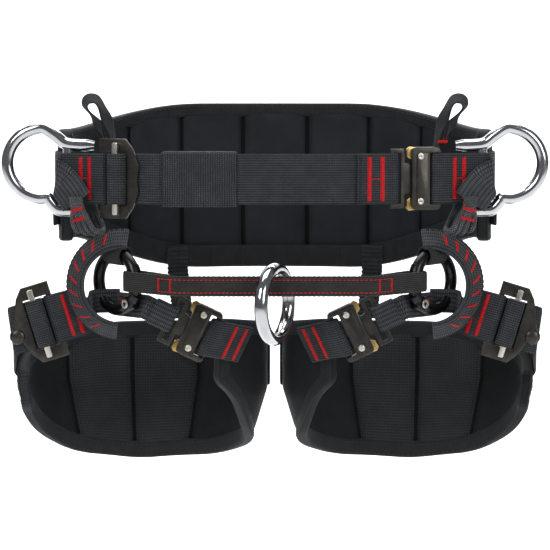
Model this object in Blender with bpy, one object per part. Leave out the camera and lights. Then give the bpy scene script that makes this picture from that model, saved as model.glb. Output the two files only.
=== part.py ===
"""Tree climbing saddle: a padded work belt with two leg pads, joined by webbing and metal fittings.

Metres, +Z up. The wearer's front is -Y, and left and right are as seen from the front.
The origin is the centre of the waist opening, at the middle height of the belt webbing.
"""
import math

import bmesh
import bpy
from mathutils import Matrix, Vector

# Webbing
WEB_WIDTH = 0.045
WEB_THICK = 0.0024
GAP = 0.0004
STITCH_GAP = 0.0003

# Waist opening and back pad
WAIST_X = 0.190
WAIST_Y = 0.125
PAD_THICK = 0.012
PAD_REACH = math.radians(104)
PAD_PANELS = 11
PAD_TOP = 0.065
PAD_TOP_END = 0.042
PAD_BOTTOM = -0.096
PAD_BOTTOM_END = -0.060
PAD_TAPER_FROM = math.radians(28)
PAD_TAPER_TO = math.radians(70)
GEAR_BAND_WIDTH = 0.020
PAD_HEM = GEAR_BAND_WIDTH + 0.003
PAD_HEM_THIN = 0.0008

# Front line of the belt: D-ring bars at its ends, a straight run in the middle
BAR_X = WAIST_X - 0.004
BAR_Y = -0.072
FRONT_Y = -0.103
LEFT_BEND_X = -0.112
RIGHT_BEND_X = 0.052

# Side D-rings
D_TUBE = 0.0055
D_BAR = 0.0045
D_LOOP_RADIUS = 0.0315
D_LOOP_OUT = 0.023
D_LOOP_UP = 0.013
D_LEG_HEIGHT = WEB_WIDTH / 2 + 0.0067
SLING_REACH = D_BAR + 1.2 * WEB_THICK + 0.00362
D_UPPER_TAIL = 0.024
D_LOWER_TAIL = 0.012
SLING_WIDTH = 0.036
LINK_CORD = 0.007

# Openable rings, their webbing sleeves and the bridge
RING_X = 0.1435
RING_Y = -0.058
RING_Z = -0.095
RING_RADIUS = 0.0255
RING_TUBE = 0.0055
SLEEVE_RADIUS = RING_RADIUS + RING_TUBE + 0.011
SLEEVE_WIDTH = 0.024
SLEEVE_THICK = 0.005
BRIDGE_WIDTH = 0.018
BRIDGE_THICK = 0.0034
BRIDGE_BOW = 0.050
BRIDGE_FLAT = 0.086
BRIDGE_RING_RADIUS = 0.031
BRIDGE_RING_TUBE = 0.006
BRIDGE_RING_TURN = math.radians(67)

# Adjusters
FRAME_THICK = 0.003
FRAME_HALF_HEIGHT = 0.0355
ADJUSTER_BAR = 0.0052
ADJUSTER_BAR_LENGTH = 0.064

# Quick-release buckles
BUCKLE_LENGTH = 0.0265
BUCKLE_THICK = 0.0104
BUCKLE_MARGIN = 0.0055
TONGUE_LENGTH = 0.013
POCKET_DEPTH = 0.0142
POCKET_HEIGHT = 0.0038
LATCH_THICK = 0.0026

# Legs
THIGH_X = 0.125
THIGH_Y = 0.005
THIGH_HALF_X = 0.107
THIGH_HALF_Y = 0.078
THIGH_NARROW_FROM = -0.200
THIGH_NARROW = 2.8
LEG_PAD_THICK = 0.011
LEG_OUTER_REACH = 102.5
LEG_INNER_REACH = -140.0
LEG_PANELS = 8
LEG_TAB_WIDTH = 0.038
RING_STRAP_WIDTH = 0.024
RING_STRAP_THICK = 0.0051
RISER_WIDTH = 0.022

X = Vector((1, 0, 0))
Y = Vector((0, 1, 0))
Z = Vector((0, 0, 1))
SIDES = (("left", -1), ("right", 1))


# ---------------------------------------------------------------- materials

def material(name, colour, roughness, metallic=0.0):
    """A plain Principled BSDF."""
    made = bpy.data.materials.new(name)
    made.use_nodes = True
    shader = made.node_tree.nodes["Principled BSDF"]
    shader.inputs["Base Color"].default_value = (*colour, 1)
    shader.inputs["Roughness"].default_value = roughness
    shader.inputs["Metallic"].default_value = metallic
    return made


FINISHES = {
    "webbing": ((0.010, 0.011, 0.013), 0.85, 0.0),
    "pad_fabric": ((0.007, 0.008, 0.010), 0.75, 0.0),
    "polished": ((0.86, 0.87, 0.89), 0.14, 1.0),
    "anodised": ((0.015, 0.015, 0.017), 0.35, 0.7),
    "gunmetal": ((0.045, 0.042, 0.040), 0.38, 0.9),
    "brass": ((0.72, 0.50, 0.20), 0.30, 1.0),
    "nickel": ((0.78, 0.76, 0.70), 0.30, 1.0),
    "cord": ((0.020, 0.021, 0.024), 0.9, 0.0),
    "plastic": ((0.012, 0.012, 0.013), 0.5, 0.0),
}


# ---------------------------------------------------------------- building blocks

def add(name, bm, finish, parent=None, origin=None):
    """Turn a bmesh in world coordinates into an object whose origin is at the given point."""
    if bm.calc_volume(signed=True) < 0:
        bmesh.ops.reverse_faces(bm, faces=bm.faces)
    place = Vector(origin) if origin else Vector((0, 0, 0))
    if parent and origin is None:
        place = parent.location.copy()
    bmesh.ops.translate(bm, verts=bm.verts, vec=-place)
    mesh = bpy.data.meshes.new(name)
    bm.to_mesh(mesh)
    bm.free()
    mesh.materials.append(MATERIALS[finish])
    made = bpy.data.objects.new(name, mesh)
    bpy.context.scene.collection.objects.link(made)
    made.location = place
    if parent:
        made.parent = parent
        made.location = place - parent.location
    return made


def body(name, anchor):
    """An empty on a joint's axis, which the pieces of one moving body hang from."""
    made = bpy.data.objects.new("axis_" + name, None)
    bpy.context.scene.collection.objects.link(made)
    made.empty_display_size = 0.02
    made.location = Vector(anchor)
    return made


def shade_round(made):
    made.data.shade_smooth()
    made.data.set_sharp_from_angle(angle=math.radians(40))
    return made


def cut(target, tool):
    """Take the tool's shape out of the target."""
    return combine(target, tool, "DIFFERENCE")


def combine(target, tool, operation):
    tool.hide_render = True
    tool.display_type = "WIRE"
    step = target.modifiers.new(tool.name, "BOOLEAN")
    step.operation = operation
    step.solver = "EXACT"
    step.object = tool
    return target


def tangents(path, closed=False):
    count = len(path)
    found = []
    for i in range(count):
        before = path[i - 1] if closed or i > 0 else path[i]
        after = path[(i + 1) % count] if closed or i < count - 1 else path[i]
        found.append((after - before).normalized())
    return found


def smooth_path(points, per_span=4, closed=False):
    """A Catmull-Rom curve through the points."""
    points = [Vector(p) for p in points]
    count = len(points)
    path = []
    for i in range(count if closed else count - 1):
        here, there = points[i], points[(i + 1) % count]
        before = points[i - 1] if closed or i > 0 else 2 * here - there
        beyond = points[(i + 2) % count] if closed or i < count - 2 else 2 * there - here
        for k in range(per_span):
            t = k / per_span
            path.append(0.5 * (2 * here + (there - before) * t
                               + (2 * before - 5 * here + 4 * there - beyond) * t ** 2
                               + (3 * here - before - 3 * there + beyond) * t ** 3))
    if not closed:
        path.append(points[-1].copy())
    return path


def loft(name, loops, finish, closed=False, parent=None, origin=None):
    """Skin a row of loops, with flat ends unless the row is closed.

    Loops of four corners are webbing and pads: both faces get matching diagonals, so that a
    twisted stretch keeps its thickness.
    """
    bm = bmesh.new()
    rings = [[bm.verts.new(p) for p in loop] for loop in loops]
    pairs = list(zip(rings, rings[1:]))
    if closed:
        pairs.append((rings[-1], rings[0]))
    count = len(rings[0])
    for a, b in pairs:
        for i in range(count):
            j = (i + 1) % count
            if count != 4:
                bm.faces.new((a[i], a[j], b[j], b[i]))
            elif i < 2:
                bm.faces.new((a[i], a[j], b[j]))
                bm.faces.new((a[i], b[j], b[i]))
            else:
                bm.faces.new((a[i], a[j], b[i]))
                bm.faces.new((a[j], b[j], b[i]))
    if not closed:
        bm.faces.new(rings[0])
        bm.faces.new(rings[-1])
    bmesh.ops.recalc_face_normals(bm, faces=bm.faces)
    return add(name, bm, finish, parent, origin)


def band(name, path, across, width, finish="webbing", thick=WEB_THICK, closed=False, parent=None,
         upright=False):
    """Flat webbing along a path. across is its width direction, one for all or one a point.

    An upright band, or one with a single direction, stays parallel to it on a slope too.
    """
    if isinstance(across, Vector):
        across = [across] * len(path)
        upright = True
    loops = []
    for point, along, side in zip(path, tangents(path, closed), across):
        if not upright:
            side = (side - along * side.dot(along)).normalized()
        half = side * (width / 2)
        depth = along.cross(side).normalized() * (thick / 2)
        loops.append([point - half - depth, point + half - depth,
                      point + half + depth, point - half + depth])
    return loft(name, loops, finish, closed, parent)


def tube(name, path, radius, plane, finish, sides=8, closed=False, parent=None):
    """A round bar along a path. plane is a direction that the path never runs along."""
    loops = []
    for point, along in zip(path, tangents(path, closed)):
        side = (plane - along * plane.dot(along)).normalized()
        other = along.cross(side)
        turns = [2 * math.pi * (k + 0.5) / sides for k in range(sides)]
        loops.append([point + (side * math.cos(a) + other * math.sin(a)) * radius for a in turns])
    return shade_round(loft(name, loops, finish, closed, parent))


def arc(centre, out, up, radius, start, stop, steps):
    """Points of an arc from start to stop degrees, measured from out towards up."""
    angles = [math.radians(start + (stop - start) * k / steps) for k in range(steps + 1)]
    return [centre + (out * math.cos(a) + up * math.sin(a)) * radius for a in angles]


def place(origin, along, front):
    """A frame whose x runs along a strap, z faces out of it and y runs across it."""
    along = Vector(along).normalized()
    front = Vector(front)
    front = (front - along * front.dot(along)).normalized()
    made = Matrix((along, front.cross(along), front)).transposed().to_4x4()
    made.translation = Vector(origin)
    return made


def extruded(name, outline, holes, low, high, frame, finish, parent=None):
    """A flat outline with holes in a frame's x and y, thick from low to high along its z."""
    bm = bmesh.new()
    edges = []
    for loop in [outline] + list(holes):
        ring = [bm.verts.new((x, y, low)) for x, y in loop]
        edges += [bm.edges.new((ring[i - 1], ring[i])) for i in range(len(ring))]
    bmesh.ops.triangle_fill(bm, use_beauty=True, use_dissolve=False, edges=edges)
    grown = bmesh.ops.extrude_face_region(bm, geom=bm.faces[:])
    top = [v for v in grown["geom"] if isinstance(v, bmesh.types.BMVert)]
    bmesh.ops.translate(bm, verts=top, vec=(0, 0, high - low))
    bmesh.ops.recalc_face_normals(bm, faces=bm.faces)
    bmesh.ops.transform(bm, matrix=frame, verts=bm.verts)
    return add(name, bm, finish, parent)


def rectangle(x0, x1, y0, y1):
    return [(x0, y0), (x1, y0), (x1, y1), (x0, y1)]


def rounded(x0, x1, y0, y1, radius, steps=2):
    """A rectangle with round corners."""
    points = []
    corners = ((x1 - radius, y1 - radius, 0), (x0 + radius, y1 - radius, 90),
               (x0 + radius, y0 + radius, 180), (x1 - radius, y0 + radius, 270))
    for cx, cy, start in corners:
        for k in range(steps + 1):
            a = math.radians(start + 90 * k / steps)
            points.append((cx + radius * math.cos(a), cy + radius * math.sin(a)))
    return points


def circle(x, y, radius, sides):
    turns = [2 * math.pi * (k + 0.5) / sides for k in range(sides)]
    return [(x + radius * math.cos(a), y + radius * math.sin(a)) for a in turns]


def strap_loop(name, start, start_radius, end, end_radius, across, width, end_across=None,
               parent=None, narrow=0.010):
    """A closed webbing loop round two bars, sewn flat between them. Radii are to its middle."""
    start, end = Vector(start), Vector(end)
    end_across = end_across or across
    along = (end - start).normalized()
    start_out = along.cross(across).normalized()
    end_out = along.cross(end_across).normalized()
    flat = WEB_THICK / 2 + STITCH_GAP
    near = start + along * (start_radius + narrow)
    far = end - along * (end_radius + narrow)
    path = arc(start, -along, start_out, start_radius, 80, -80, 6)
    path += [near - start_out * flat, far - end_out * flat]
    path += arc(end, along, -end_out, end_radius, 80, -80, 6)
    path += [far + end_out * flat, near + start_out * flat]
    sides = [across] * 8 + [end_across] * 9 + [across]
    return band(name, path, sides, width, closed=True, parent=parent)


def hollow(name, path, across, width, thick, wall, finish, parent=None):
    """A flat tube round a strap. width and thick are its inside."""
    outer = []
    inner = []
    for point, along in zip(path, tangents(path)):
        depth = along.cross(across)
        for loops, grow in ((outer, wall), (inner, 0)):
            w = across * (width / 2 + grow)
            n = depth * (thick / 2 + grow)
            loops.append([point - w - n, point + w - n, point + w + n, point - w + n])
    return loft(name, outer + inner[::-1], finish, closed=True, parent=parent)


# ---------------------------------------------------------------- belt

def waist_point(angle, out, z):
    """A point outside the waist opening's edge, at an angle from the middle of the back."""
    return Vector(((WAIST_X + out) * math.sin(angle), (WAIST_Y + out) * math.cos(angle), z))


def pad_angles(reach=PAD_REACH, panels=PAD_PANELS):
    """The sewn channels' angles, so that each panel between two of them is flat."""
    return [-reach + 2 * reach * k / panels for k in range(panels + 1)]


def taper(angle):
    """0 over the back's middle, 1 near the pad's ends."""
    share = (abs(angle) - PAD_TAPER_FROM) / (PAD_TAPER_TO - PAD_TAPER_FROM)
    return min(max(share, 0), 1)


def pad_top(angle):
    return PAD_TOP + (PAD_TOP_END - PAD_TOP) * taper(angle)


def pad_bottom(angle):
    return PAD_BOTTOM + (PAD_BOTTOM_END - PAD_BOTTOM) * taper(angle)


def build_back_pad():
    loops = []
    for angle in pad_angles():
        low, high = pad_bottom(angle), pad_top(angle)
        inside = [waist_point(angle, 0, high), waist_point(angle, 0, low + PAD_HEM),
                  waist_point(angle, PAD_HEM_THIN, low)]
        loops.append(inside + [waist_point(angle, PAD_THICK, z) for z in (low, high)])
    loft("back_pad", loops, "pad_fabric")


def build_gear_band():
    """The row of webbing loops sewn inside the pad's lower edge."""
    inside = -GAP - WEB_THICK / 2
    angles = pad_angles()[2:-2]
    rise = GEAR_BAND_WIDTH / 2 + 0.001
    path = [waist_point(angle, inside, pad_bottom(angle) + rise) for angle in angles]
    band("gear_loop_band", path, Z, GEAR_BAND_WIDTH)


def build_waist_belt():
    """The belt's webbing round the outside of the pad, to just behind each D-ring bar."""
    out = PAD_THICK + GAP + WEB_THICK / 2
    path = [waist_point(angle, out, 0) for angle in pad_angles()]
    end = Vector((BAR_X - 0.003, BAR_Y + 0.0078 + 3 * WEB_THICK, 0))
    path = [Vector((-end.x, end.y, 0))] + path + [end]
    band("waist_belt", path, Z, WEB_WIDTH)


LEFT_BAR = Vector((-BAR_X, BAR_Y, 0))
RIGHT_BAR = Vector((BAR_X, BAR_Y, 0))
LEFT_BEND = Vector((LEFT_BEND_X, FRONT_Y, 0))
RIGHT_BEND = Vector((RIGHT_BEND_X, FRONT_Y, 0))
LEFT_RUN = (LEFT_BEND - LEFT_BAR).normalized()
RIGHT_RUN = (RIGHT_BAR - RIGHT_BEND).normalized()


# ---------------------------------------------------------------- adjusters

WINDOW_NEAR = -0.0125
WINDOW_FAR = 0.0095
TAB_BAR_AT = -0.015
TAB_BAR_HALF = 0.0025
TAB_BAR_RADIUS = 0.0046
HAIRPIN_HALF = 0.0068
HAIRPIN_FRONT = 0.0088
BOSS_AT = 0.0235
BOSS_RADIUS = 0.0075
BOSS_DROP = 0.006
BAR_LIFT = FRAME_THICK / 2 + GAP + ADJUSTER_BAR / 2
LOAD_DEPTH = FRAME_THICK / 2 + GAP + WEB_THICK / 2 + 0.0003
TAIL_DEPTH = LOAD_DEPTH + WEB_THICK + 2 * GAP


def build_adjuster(prefix, frame, boss, parent=None):
    """A steel frame with a webbing bar at its near side, and a floating bar across its window."""
    near = TAB_BAR_AT - TAB_BAR_HALF
    top = FRAME_HALF_HEIGHT
    outline = [(near, -top), (0.008, -top), (0.015, -0.026), (0.0205, -0.012)]
    if boss:
        outline += [(BOSS_AT + BOSS_RADIUS * math.cos(a), -BOSS_DROP + BOSS_RADIUS * math.sin(a))
                    for a in (math.radians(d) for d in (-70, -35, 0, 35, 70))]
    else:
        outline += [(0.0196, 0.0)]
    outline += [(0.0215, 0.012), (0.015, 0.027), (0.008, top), (near, top)]
    if (frame.to_3x3() @ Y).z < 0:
        outline = [(x, -y) for x, y in outline]
    window = rectangle(WINDOW_NEAR, WINDOW_FAR, -WEB_WIDTH / 2 - 0.001, WEB_WIDTH / 2 + 0.001)
    extruded(prefix + "_frame", outline, [window], -FRAME_THICK / 2, FRAME_THICK / 2,
             frame, "gunmetal", parent)


def build_adjuster_bar(prefix, frame, parent):
    half = ADJUSTER_BAR / 2
    length = ADJUSTER_BAR_LENGTH / 2
    extruded(prefix + "_bar", rounded(-half, half, -length, length, 0.0008, 1), [],
             BAR_LIFT - half, BAR_LIFT + half, frame, "nickel", parent)


def hairpin(frame, tail_length):
    """A strap's middle line from its tail, up through the window, over the bar and back down."""
    side, front = HAIRPIN_HALF, HAIRPIN_FRONT
    points = [(tail_length, -TAIL_DEPTH), (-side + 0.004, -TAIL_DEPTH), (-side, -TAIL_DEPTH + 0.003),
              (-side, front - 0.003), (-side + 0.0015, front - 0.0006), (-side + 0.004, front),
              (side - 0.004, front), (side - 0.0015, front - 0.0006), (side, front - 0.003),
              (side, 0.0), (side + 0.0004, -LOAD_DEPTH + 0.0009), (side + 0.0030, -LOAD_DEPTH)]
    return [frame @ Vector((x, 0, n)) for x, n in points]


# ---------------------------------------------------------------- quick-release buckles

SLOT_FROM = 0.0164
SLOT_TO = 0.0215
END_BAR_AT = 0.024
END_BAR_HALF_THICK = 0.002
END_BAR_RADIUS = 0.0054
LATCH_PIVOT_X = 0.008
MALE_BAR_AT = -0.017
MALE_LOOP_RADIUS = 0.0042
LATCH_OUTLINE = [(-11.6, -0.5), (-12.2, 6.0), (-9.5, 8.6), (-5.0, 8.0), (-2.5, 5.0), (3.0, 4.0),
                 (5.2, -1.0), (5.2, -6.0), (2.5, -7.0), (0.0, -4.5), (-4.5, -3.0), (-9.0, -2.5)]


def build_buckle(prefix, frame, strap, parent, latch_bodies, release, rivets):
    """A flat steel body with two side latches, and the tongue that plugs into it."""
    half = strap / 2 + BUCKLE_MARGIN
    pivot = half - 0.008
    thick = BUCKLE_THICK / 2
    shell = extruded(prefix + "_body", rounded(0, BUCKLE_LENGTH, -half, half, 0.0035, 2), [],
                     -thick, thick, frame, "gunmetal", parent)
    pocket = POCKET_HEIGHT / 2
    cut(shell, extruded("cut_pocket_" + prefix,
                        rectangle(-0.005, POCKET_DEPTH + 0.0006, -half - 0.005, half + 0.005), [],
                        -pocket, pocket, frame, "gunmetal"))
    inside = strap / 2 + 0.0007
    end = END_BAR_HALF_THICK
    profile = [(SLOT_FROM, -0.01), (SLOT_FROM, 0.01), (0.03, 0.01), (0.03, end), (SLOT_TO, end),
               (SLOT_TO, -end), (0.03, -end), (0.03, -0.01)]
    across_frame = frame @ Matrix.Rotation(math.radians(90), 4, "X")
    cut(shell, extruded("cut_slot_" + prefix, profile, [], -inside, inside, across_frame, "gunmetal"))
    for (name, side), hung in zip(latch_sides(frame), latch_bodies):
        centre = (LATCH_PIVOT_X, side * pivot)
        if rivets:
            hole = circle(*centre, 0.0023, 12)
            cut(shell, extruded("cut_rivet_" + name + prefix, hole, [], -0.01, 0.01, frame, "gunmetal"))
            build_rivet(prefix + "_rivet_" + name, frame, centre, parent)
        outline = [(centre[0] + x / 1000, centre[1] + side * y / 1000) for x, y in LATCH_OUTLINE]
        extruded(prefix + "_latch_" + name, outline, [circle(*centre, 0.0023, 12)],
                 -LATCH_THICK / 2, LATCH_THICK / 2, frame, "brass", hung)
    build_tongue(prefix, frame, strap, pivot - 0.008, release)


def build_rivet(name, frame, centre, parent):
    """A turned rivet with a head on each face of the body."""
    head = BUCKLE_THICK / 2 + GAP
    profile = [(0.0010, -head - 0.0009), (0.0030, -head - 0.0004), (0.0030, -head), (0.0019, -head),
               (0.0019, head), (0.0030, head), (0.0030, head + 0.0004), (0.0010, head + 0.0009)]
    loops = []
    for radius, n in profile:
        loops.append([frame @ Vector((x, y, n)) for x, y in circle(*centre, radius, 12)])
    shade_round(loft(name, loops, "nickel", parent=parent))


def build_tongue(prefix, frame, strap, tongue_half, parent):
    half = strap / 2 + 0.004
    near = MALE_BAR_AT - 0.002
    upper = [(-0.0065, half), (-0.006, half - 0.003), (-0.006, tongue_half + 0.002),
             (-0.0014, tongue_half + 0.001), (-0.0014, tongue_half), (0.010, tongue_half),
             (TONGUE_LENGTH, tongue_half - 0.003)]
    outline = [(near, -half), (near, half)] + upper + [(x, -y) for x, y in upper[::-1]]
    slot = rectangle(MALE_BAR_AT + 0.002, -0.0095, -strap / 2 - 0.0007, strap / 2 + 0.0007)
    extruded(prefix + "_tongue", outline, [slot], -0.0015, 0.0015, frame, "gunmetal", parent)


def build_tongue_strap(name, frame, width, length, parent):
    """The folded webbing end that holds the tongue: two layers round its bar."""
    radius = MALE_LOOP_RADIUS
    path = [Vector((MALE_BAR_AT - length, 0, radius)), Vector((MALE_BAR_AT - 0.002, 0, radius))]
    path += arc(Vector((MALE_BAR_AT, 0, 0)), Z, X, radius, 0, 180, 8)
    path += [Vector((MALE_BAR_AT - 0.002, 0, -radius)), Vector((MALE_BAR_AT - length, 0, -radius))]
    path = [frame @ p for p in path]
    band(name, path, frame.to_3x3() @ Y, width, parent=parent)


# ---------------------------------------------------------------- front of the belt

ADJUSTER_FROM_BAR = 0.050
KEEPER_FROM = -0.100
KEEPER_LENGTH = 0.066
BUCKLE_X = 0.121
WAIST_TONGUE_STRAP = 0.033
STRAP_IN_FOLD = 0.016


def build_belt_front():
    adjuster = place(LEFT_BAR + LEFT_RUN * ADJUSTER_FROM_BAR, LEFT_RUN, -Y)
    buckle = place(RIGHT_BEND + RIGHT_RUN * ((BUCKLE_X - RIGHT_BEND_X) / RIGHT_RUN.x), RIGHT_RUN, -Y)
    bar_radius = D_BAR + 2 * GAP + WEB_THICK / 2 + 0.0003

    build_adjuster("waist_adjuster", adjuster, False)
    bar = body("waist_adjuster_bar", adjuster @ Vector((0, 0, BAR_LIFT)))
    build_adjuster_bar("waist_adjuster", adjuster, bar)
    strap_loop("belt_tab_left", LEFT_BAR, bar_radius, adjuster @ Vector((TAB_BAR_AT, 0, 0)),
               TAB_BAR_RADIUS, Z, WEB_WIDTH, narrow=0.006)

    release = body("waist_tongue", buckle.translation)
    latches = [body("waist_latch_" + name, latch_pivot(buckle, WEB_WIDTH, side))
               for name, side in latch_sides(buckle)]
    build_buckle("waist_buckle", buckle, WEB_WIDTH, None, latches, release, True)
    build_tongue_strap("waist_tongue_strap", buckle, WEB_WIDTH, WAIST_TONGUE_STRAP, release)
    strap_loop("belt_tab_right", RIGHT_BAR, bar_radius, buckle @ Vector((END_BAR_AT, 0, 0)),
               END_BAR_RADIUS, Z, WEB_WIDTH)

    fold = buckle @ Vector((MALE_BAR_AT - STRAP_IN_FOLD, 0, 0))
    tail_y = TAIL_DEPTH - LOAD_DEPTH
    path = hairpin(adjuster, 0.024)
    tail = [Vector((KEEPER_FROM + KEEPER_LENGTH - 0.01, FRONT_Y + tail_y, 0)),
            Vector((LEFT_BEND_X + 0.006, FRONT_Y + tail_y, 0))]
    load = [adjuster @ Vector((0.024, 0, -LOAD_DEPTH)), LEFT_BEND + X * 0.004, RIGHT_BEND, fold]
    band("front_strap", tail + path + load, Z, WEB_WIDTH)

    keeper = body("waist_keeper", (KEEPER_FROM + KEEPER_LENGTH / 2, FRONT_Y, 0))
    room = WEB_THICK * 2 + (tail_y - WEB_THICK) + 2 * GAP
    middle = Vector((0, FRONT_Y + tail_y / 2, 0))
    ends = [middle + X * (KEEPER_FROM + share * KEEPER_LENGTH) for share in (0, 0.5, 1)]
    hollow("waist_keeper", ends, Z, WEB_WIDTH + 2 * GAP, room, 0.002, "webbing", keeper)


def latch_sides(frame):
    """The two latches' names with the side of the frame each one is on."""
    rise = 1 if (frame.to_3x3() @ Y).z > 0 else -1
    return (("upper", rise), ("lower", -rise))


def latch_pivot(frame, strap, side):
    pivot = strap / 2 + BUCKLE_MARGIN - 0.008
    return frame @ Vector((LATCH_PIVOT_X, side * pivot, 0))


# ---------------------------------------------------------------- side D-rings and their slings

def build_d_ring(name, sign):
    """A round-bar D whose two legs run past its upright bar."""
    bar = Vector((sign * BAR_X, BAR_Y, 0))
    out = X * sign
    hinge = body("d_ring_" + name, bar)
    centre = bar + out * D_LOOP_OUT + Z * D_LOOP_UP
    high, low = D_LEG_HEIGHT, -D_LEG_HEIGHT
    upper = smooth_path([bar + out * u + Z * w for u, w in
                         ((-D_UPPER_TAIL, high - 0.0004), (-0.010, high), (0.002, high + 0.0016),
                          (0.011, high + 0.0085))], 2)
    lower = smooth_path([bar + out * u + Z * w for u, w in
                         ((0.0165, low + 0.0080), (0.0098, low + 0.0010), (0.0, low),
                          (-D_LOWER_TAIL, low - 0.0006))], 2)
    ring = tube("d_ring_" + name, upper + arc(centre, out, Z, D_LOOP_RADIUS, 92, -98, 14) + lower,
                D_TUBE, Y, "polished", parent=hinge)
    bar_ends = [bar + Z * (low + 0.001), bar + Z * (high + 0.001)]
    combine(ring, tube("cut_bar_" + name, bar_ends, D_BAR, Y, "polished", 8), "UNION")


def bar_frame(sign):
    """The bar's middle, and the directions out of and square to the belt webbing there."""
    if sign < 0:
        return LEFT_BAR, -LEFT_RUN, Vector((-LEFT_RUN.y, LEFT_RUN.x, 0))
    return RIGHT_BAR, RIGHT_RUN, Vector((-RIGHT_RUN.y, RIGHT_RUN.x, 0))


def build_sling(name, sign):
    """Webbing thrown round the bar outside the belt's own loop, its two legs hanging inward."""
    bar, out, back = bar_frame(sign)
    reach = SLING_REACH
    points = [(-0.014, -0.973 * reach, -0.021), (-0.008, -0.991 * reach, -0.012), (0.0, -reach, -0.003),
              (0.71 * reach, -0.70 * reach, 0.001), (reach, 0.0, 0.002), (0.80 * reach, 0.81 * reach, 0.001),
              (0.0, 1.20 * reach, -0.003), (-0.008, 1.155 * reach, -0.012), (-0.014, 1.09 * reach, -0.021)]
    upright = (0.15, 0.4, 0.75, 1, 1, 1, 0.75, 0.4, 0.15)
    path = [bar + out * u + back * y + Z * z for u, y, z in points]
    across = [Z * share - out * (1 - share) for share in upright]
    band("d_sling_" + name, path, across, SLING_WIDTH)


def build_link_cord(name, sign):
    """The lashing from the sling down to the top of the webbing sleeve, as one thick cord."""
    bar, out, back = bar_frame(sign)
    points = [(-0.016, -0.0106, -0.0262), (-0.018, -0.0107, -0.036), (-0.022, -0.0085, -0.044),
              (-0.024, 0.000, -0.0475), (-0.022, 0.0095, -0.044), (-0.018, 0.0107, -0.036),
              (-0.016, 0.0106, -0.0262)]
    path = smooth_path([bar + out * u + back * y + Z * z for u, y, z in points], 2)
    tube("link_cord_" + name, path, LINK_CORD / 2, out, "cord", 8)


def build_top_loop(name, sign):
    """The small loop that stands above the belt to park a lanyard's hook in."""
    base = Vector((sign * 0.149, BAR_Y + 0.008, 0.0275))
    points = [(0.001, 0.0), (0.006, 0.012), (0.014, 0.026), (0.0215, 0.036), (0.0195, 0.043),
              (0.011, 0.042), (0.0045, 0.030), (-0.001, 0.014), (-0.003, 0.0)]
    path = smooth_path([base + X * (sign * u) + Z * w for u, w in points], 2, closed=True)
    band("top_loop_" + name, path, Y, 0.016, closed=True)


# ---------------------------------------------------------------- rings, sleeves and bridge

def ring_plane(sign):
    """The direction from the ring's middle to its front arm, level."""
    return Vector((-sign, -1, 0)).normalized()


def ring_centre(sign):
    return Vector((sign * RING_X, RING_Y, RING_Z))


def build_openable_ring(name, sign):
    centre, out = ring_centre(sign), ring_plane(sign)
    face = out.cross(Z)
    path = arc(centre, out, Z, RING_RADIUS, 0, 360, 24)[:-1]
    ring = tube("openable_ring_" + name, path, RING_TUBE, face, "anodised", closed=True)
    angle = math.radians(-45)
    eye = centre + (out * math.cos(angle) + Z * math.sin(angle)) * (RING_RADIUS + 0.0005)
    front = face if face.y < 0 else -face
    frame = place(eye, out, front)
    boss = extruded("cut_boss_" + name, circle(0, 0, 0.0062, 12), [], -0.0052, 0.0062, frame, "anodised")
    combine(ring, boss, "UNION")
    screw = body("ring_screw_" + name, frame @ Vector((0, 0, 0.0062)))
    socket = circle(0, 0, 0.0019, 6)
    extruded("ring_screw_" + name, circle(0, 0, 0.0044, 12), [socket], 0.0062 + GAP, 0.0080, frame,
             "nickel", screw)


def build_sleeve(name, sign):
    """The thick curved webbing sleeve that joins the ring to the leg loop."""
    centre = Vector((sign * (RING_X - 0.004), RING_Y - 0.002, RING_Z - 0.003))
    path = arc(centre, X * sign, Z, SLEEVE_RADIUS, 98, -84, 16)
    across = [(-Y * 0.75 - (p - centre).normalized() * 0.66).normalized() for p in path]
    band("sleeve_" + name, path, across, SLEEVE_WIDTH, thick=SLEEVE_THICK)


def bridge_arm(sign):
    return ring_centre(sign) + ring_plane(sign) * RING_RADIUS


BRIDGE_Z = RING_Z + 0.002


def build_bridge():
    """Webbing from ring to ring, bowed forward, with the sliding ring hung on it."""
    swing = body("bridge", (0, bridge_arm(1).y, BRIDGE_Z))
    bulge = RING_RADIUS - math.sqrt(RING_RADIUS ** 2 - (BRIDGE_WIDTH / 2 + 0.002) ** 2)
    flats = math.cos(math.radians(200 / 8 / 2))
    radius = (RING_TUBE * 1.08 + GAP + bulge / 2) / flats + BRIDGE_THICK / 2
    halves = []
    for sign in (-1, 1):
        arm = bridge_arm(sign) - ring_plane(sign) * (bulge / 2)
        arm.z = BRIDGE_Z
        front = Vector((sign * BRIDGE_FLAT, bridge_arm(sign).y - BRIDGE_BOW, BRIDGE_Z))
        run = (arm - front).normalized()
        behind = Vector((-sign * run.y, sign * run.x, 0))
        back = front + run * 0.016 + behind * (BRIDGE_THICK + 0.0012)
        loop = arc(arm, run, -behind, radius, 100, -100, 8)
        halves.append([front] + loop + [back])
    path = halves[0][::-1] + halves[1]
    band("bridge_webbing", path, Z, BRIDGE_WIDTH, thick=BRIDGE_THICK, parent=swing)

    slide = body("bridge_ring", (0, bridge_arm(1).y - BRIDGE_BOW, BRIDGE_Z))
    top = BRIDGE_Z + BRIDGE_WIDTH / 2 + GAP
    centre = Vector((0, bridge_arm(1).y - BRIDGE_BOW, top + BRIDGE_RING_TUBE - BRIDGE_RING_RADIUS))
    out = Vector((math.cos(BRIDGE_RING_TURN), math.sin(BRIDGE_RING_TURN), 0))
    path = arc(centre, out, Z, BRIDGE_RING_RADIUS, 0, 360, 28)[:-1]
    tube("bridge_ring", path, BRIDGE_RING_TUBE, out.cross(Z), "polished", 10, True, slide)


# ---------------------------------------------------------------- legs

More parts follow.
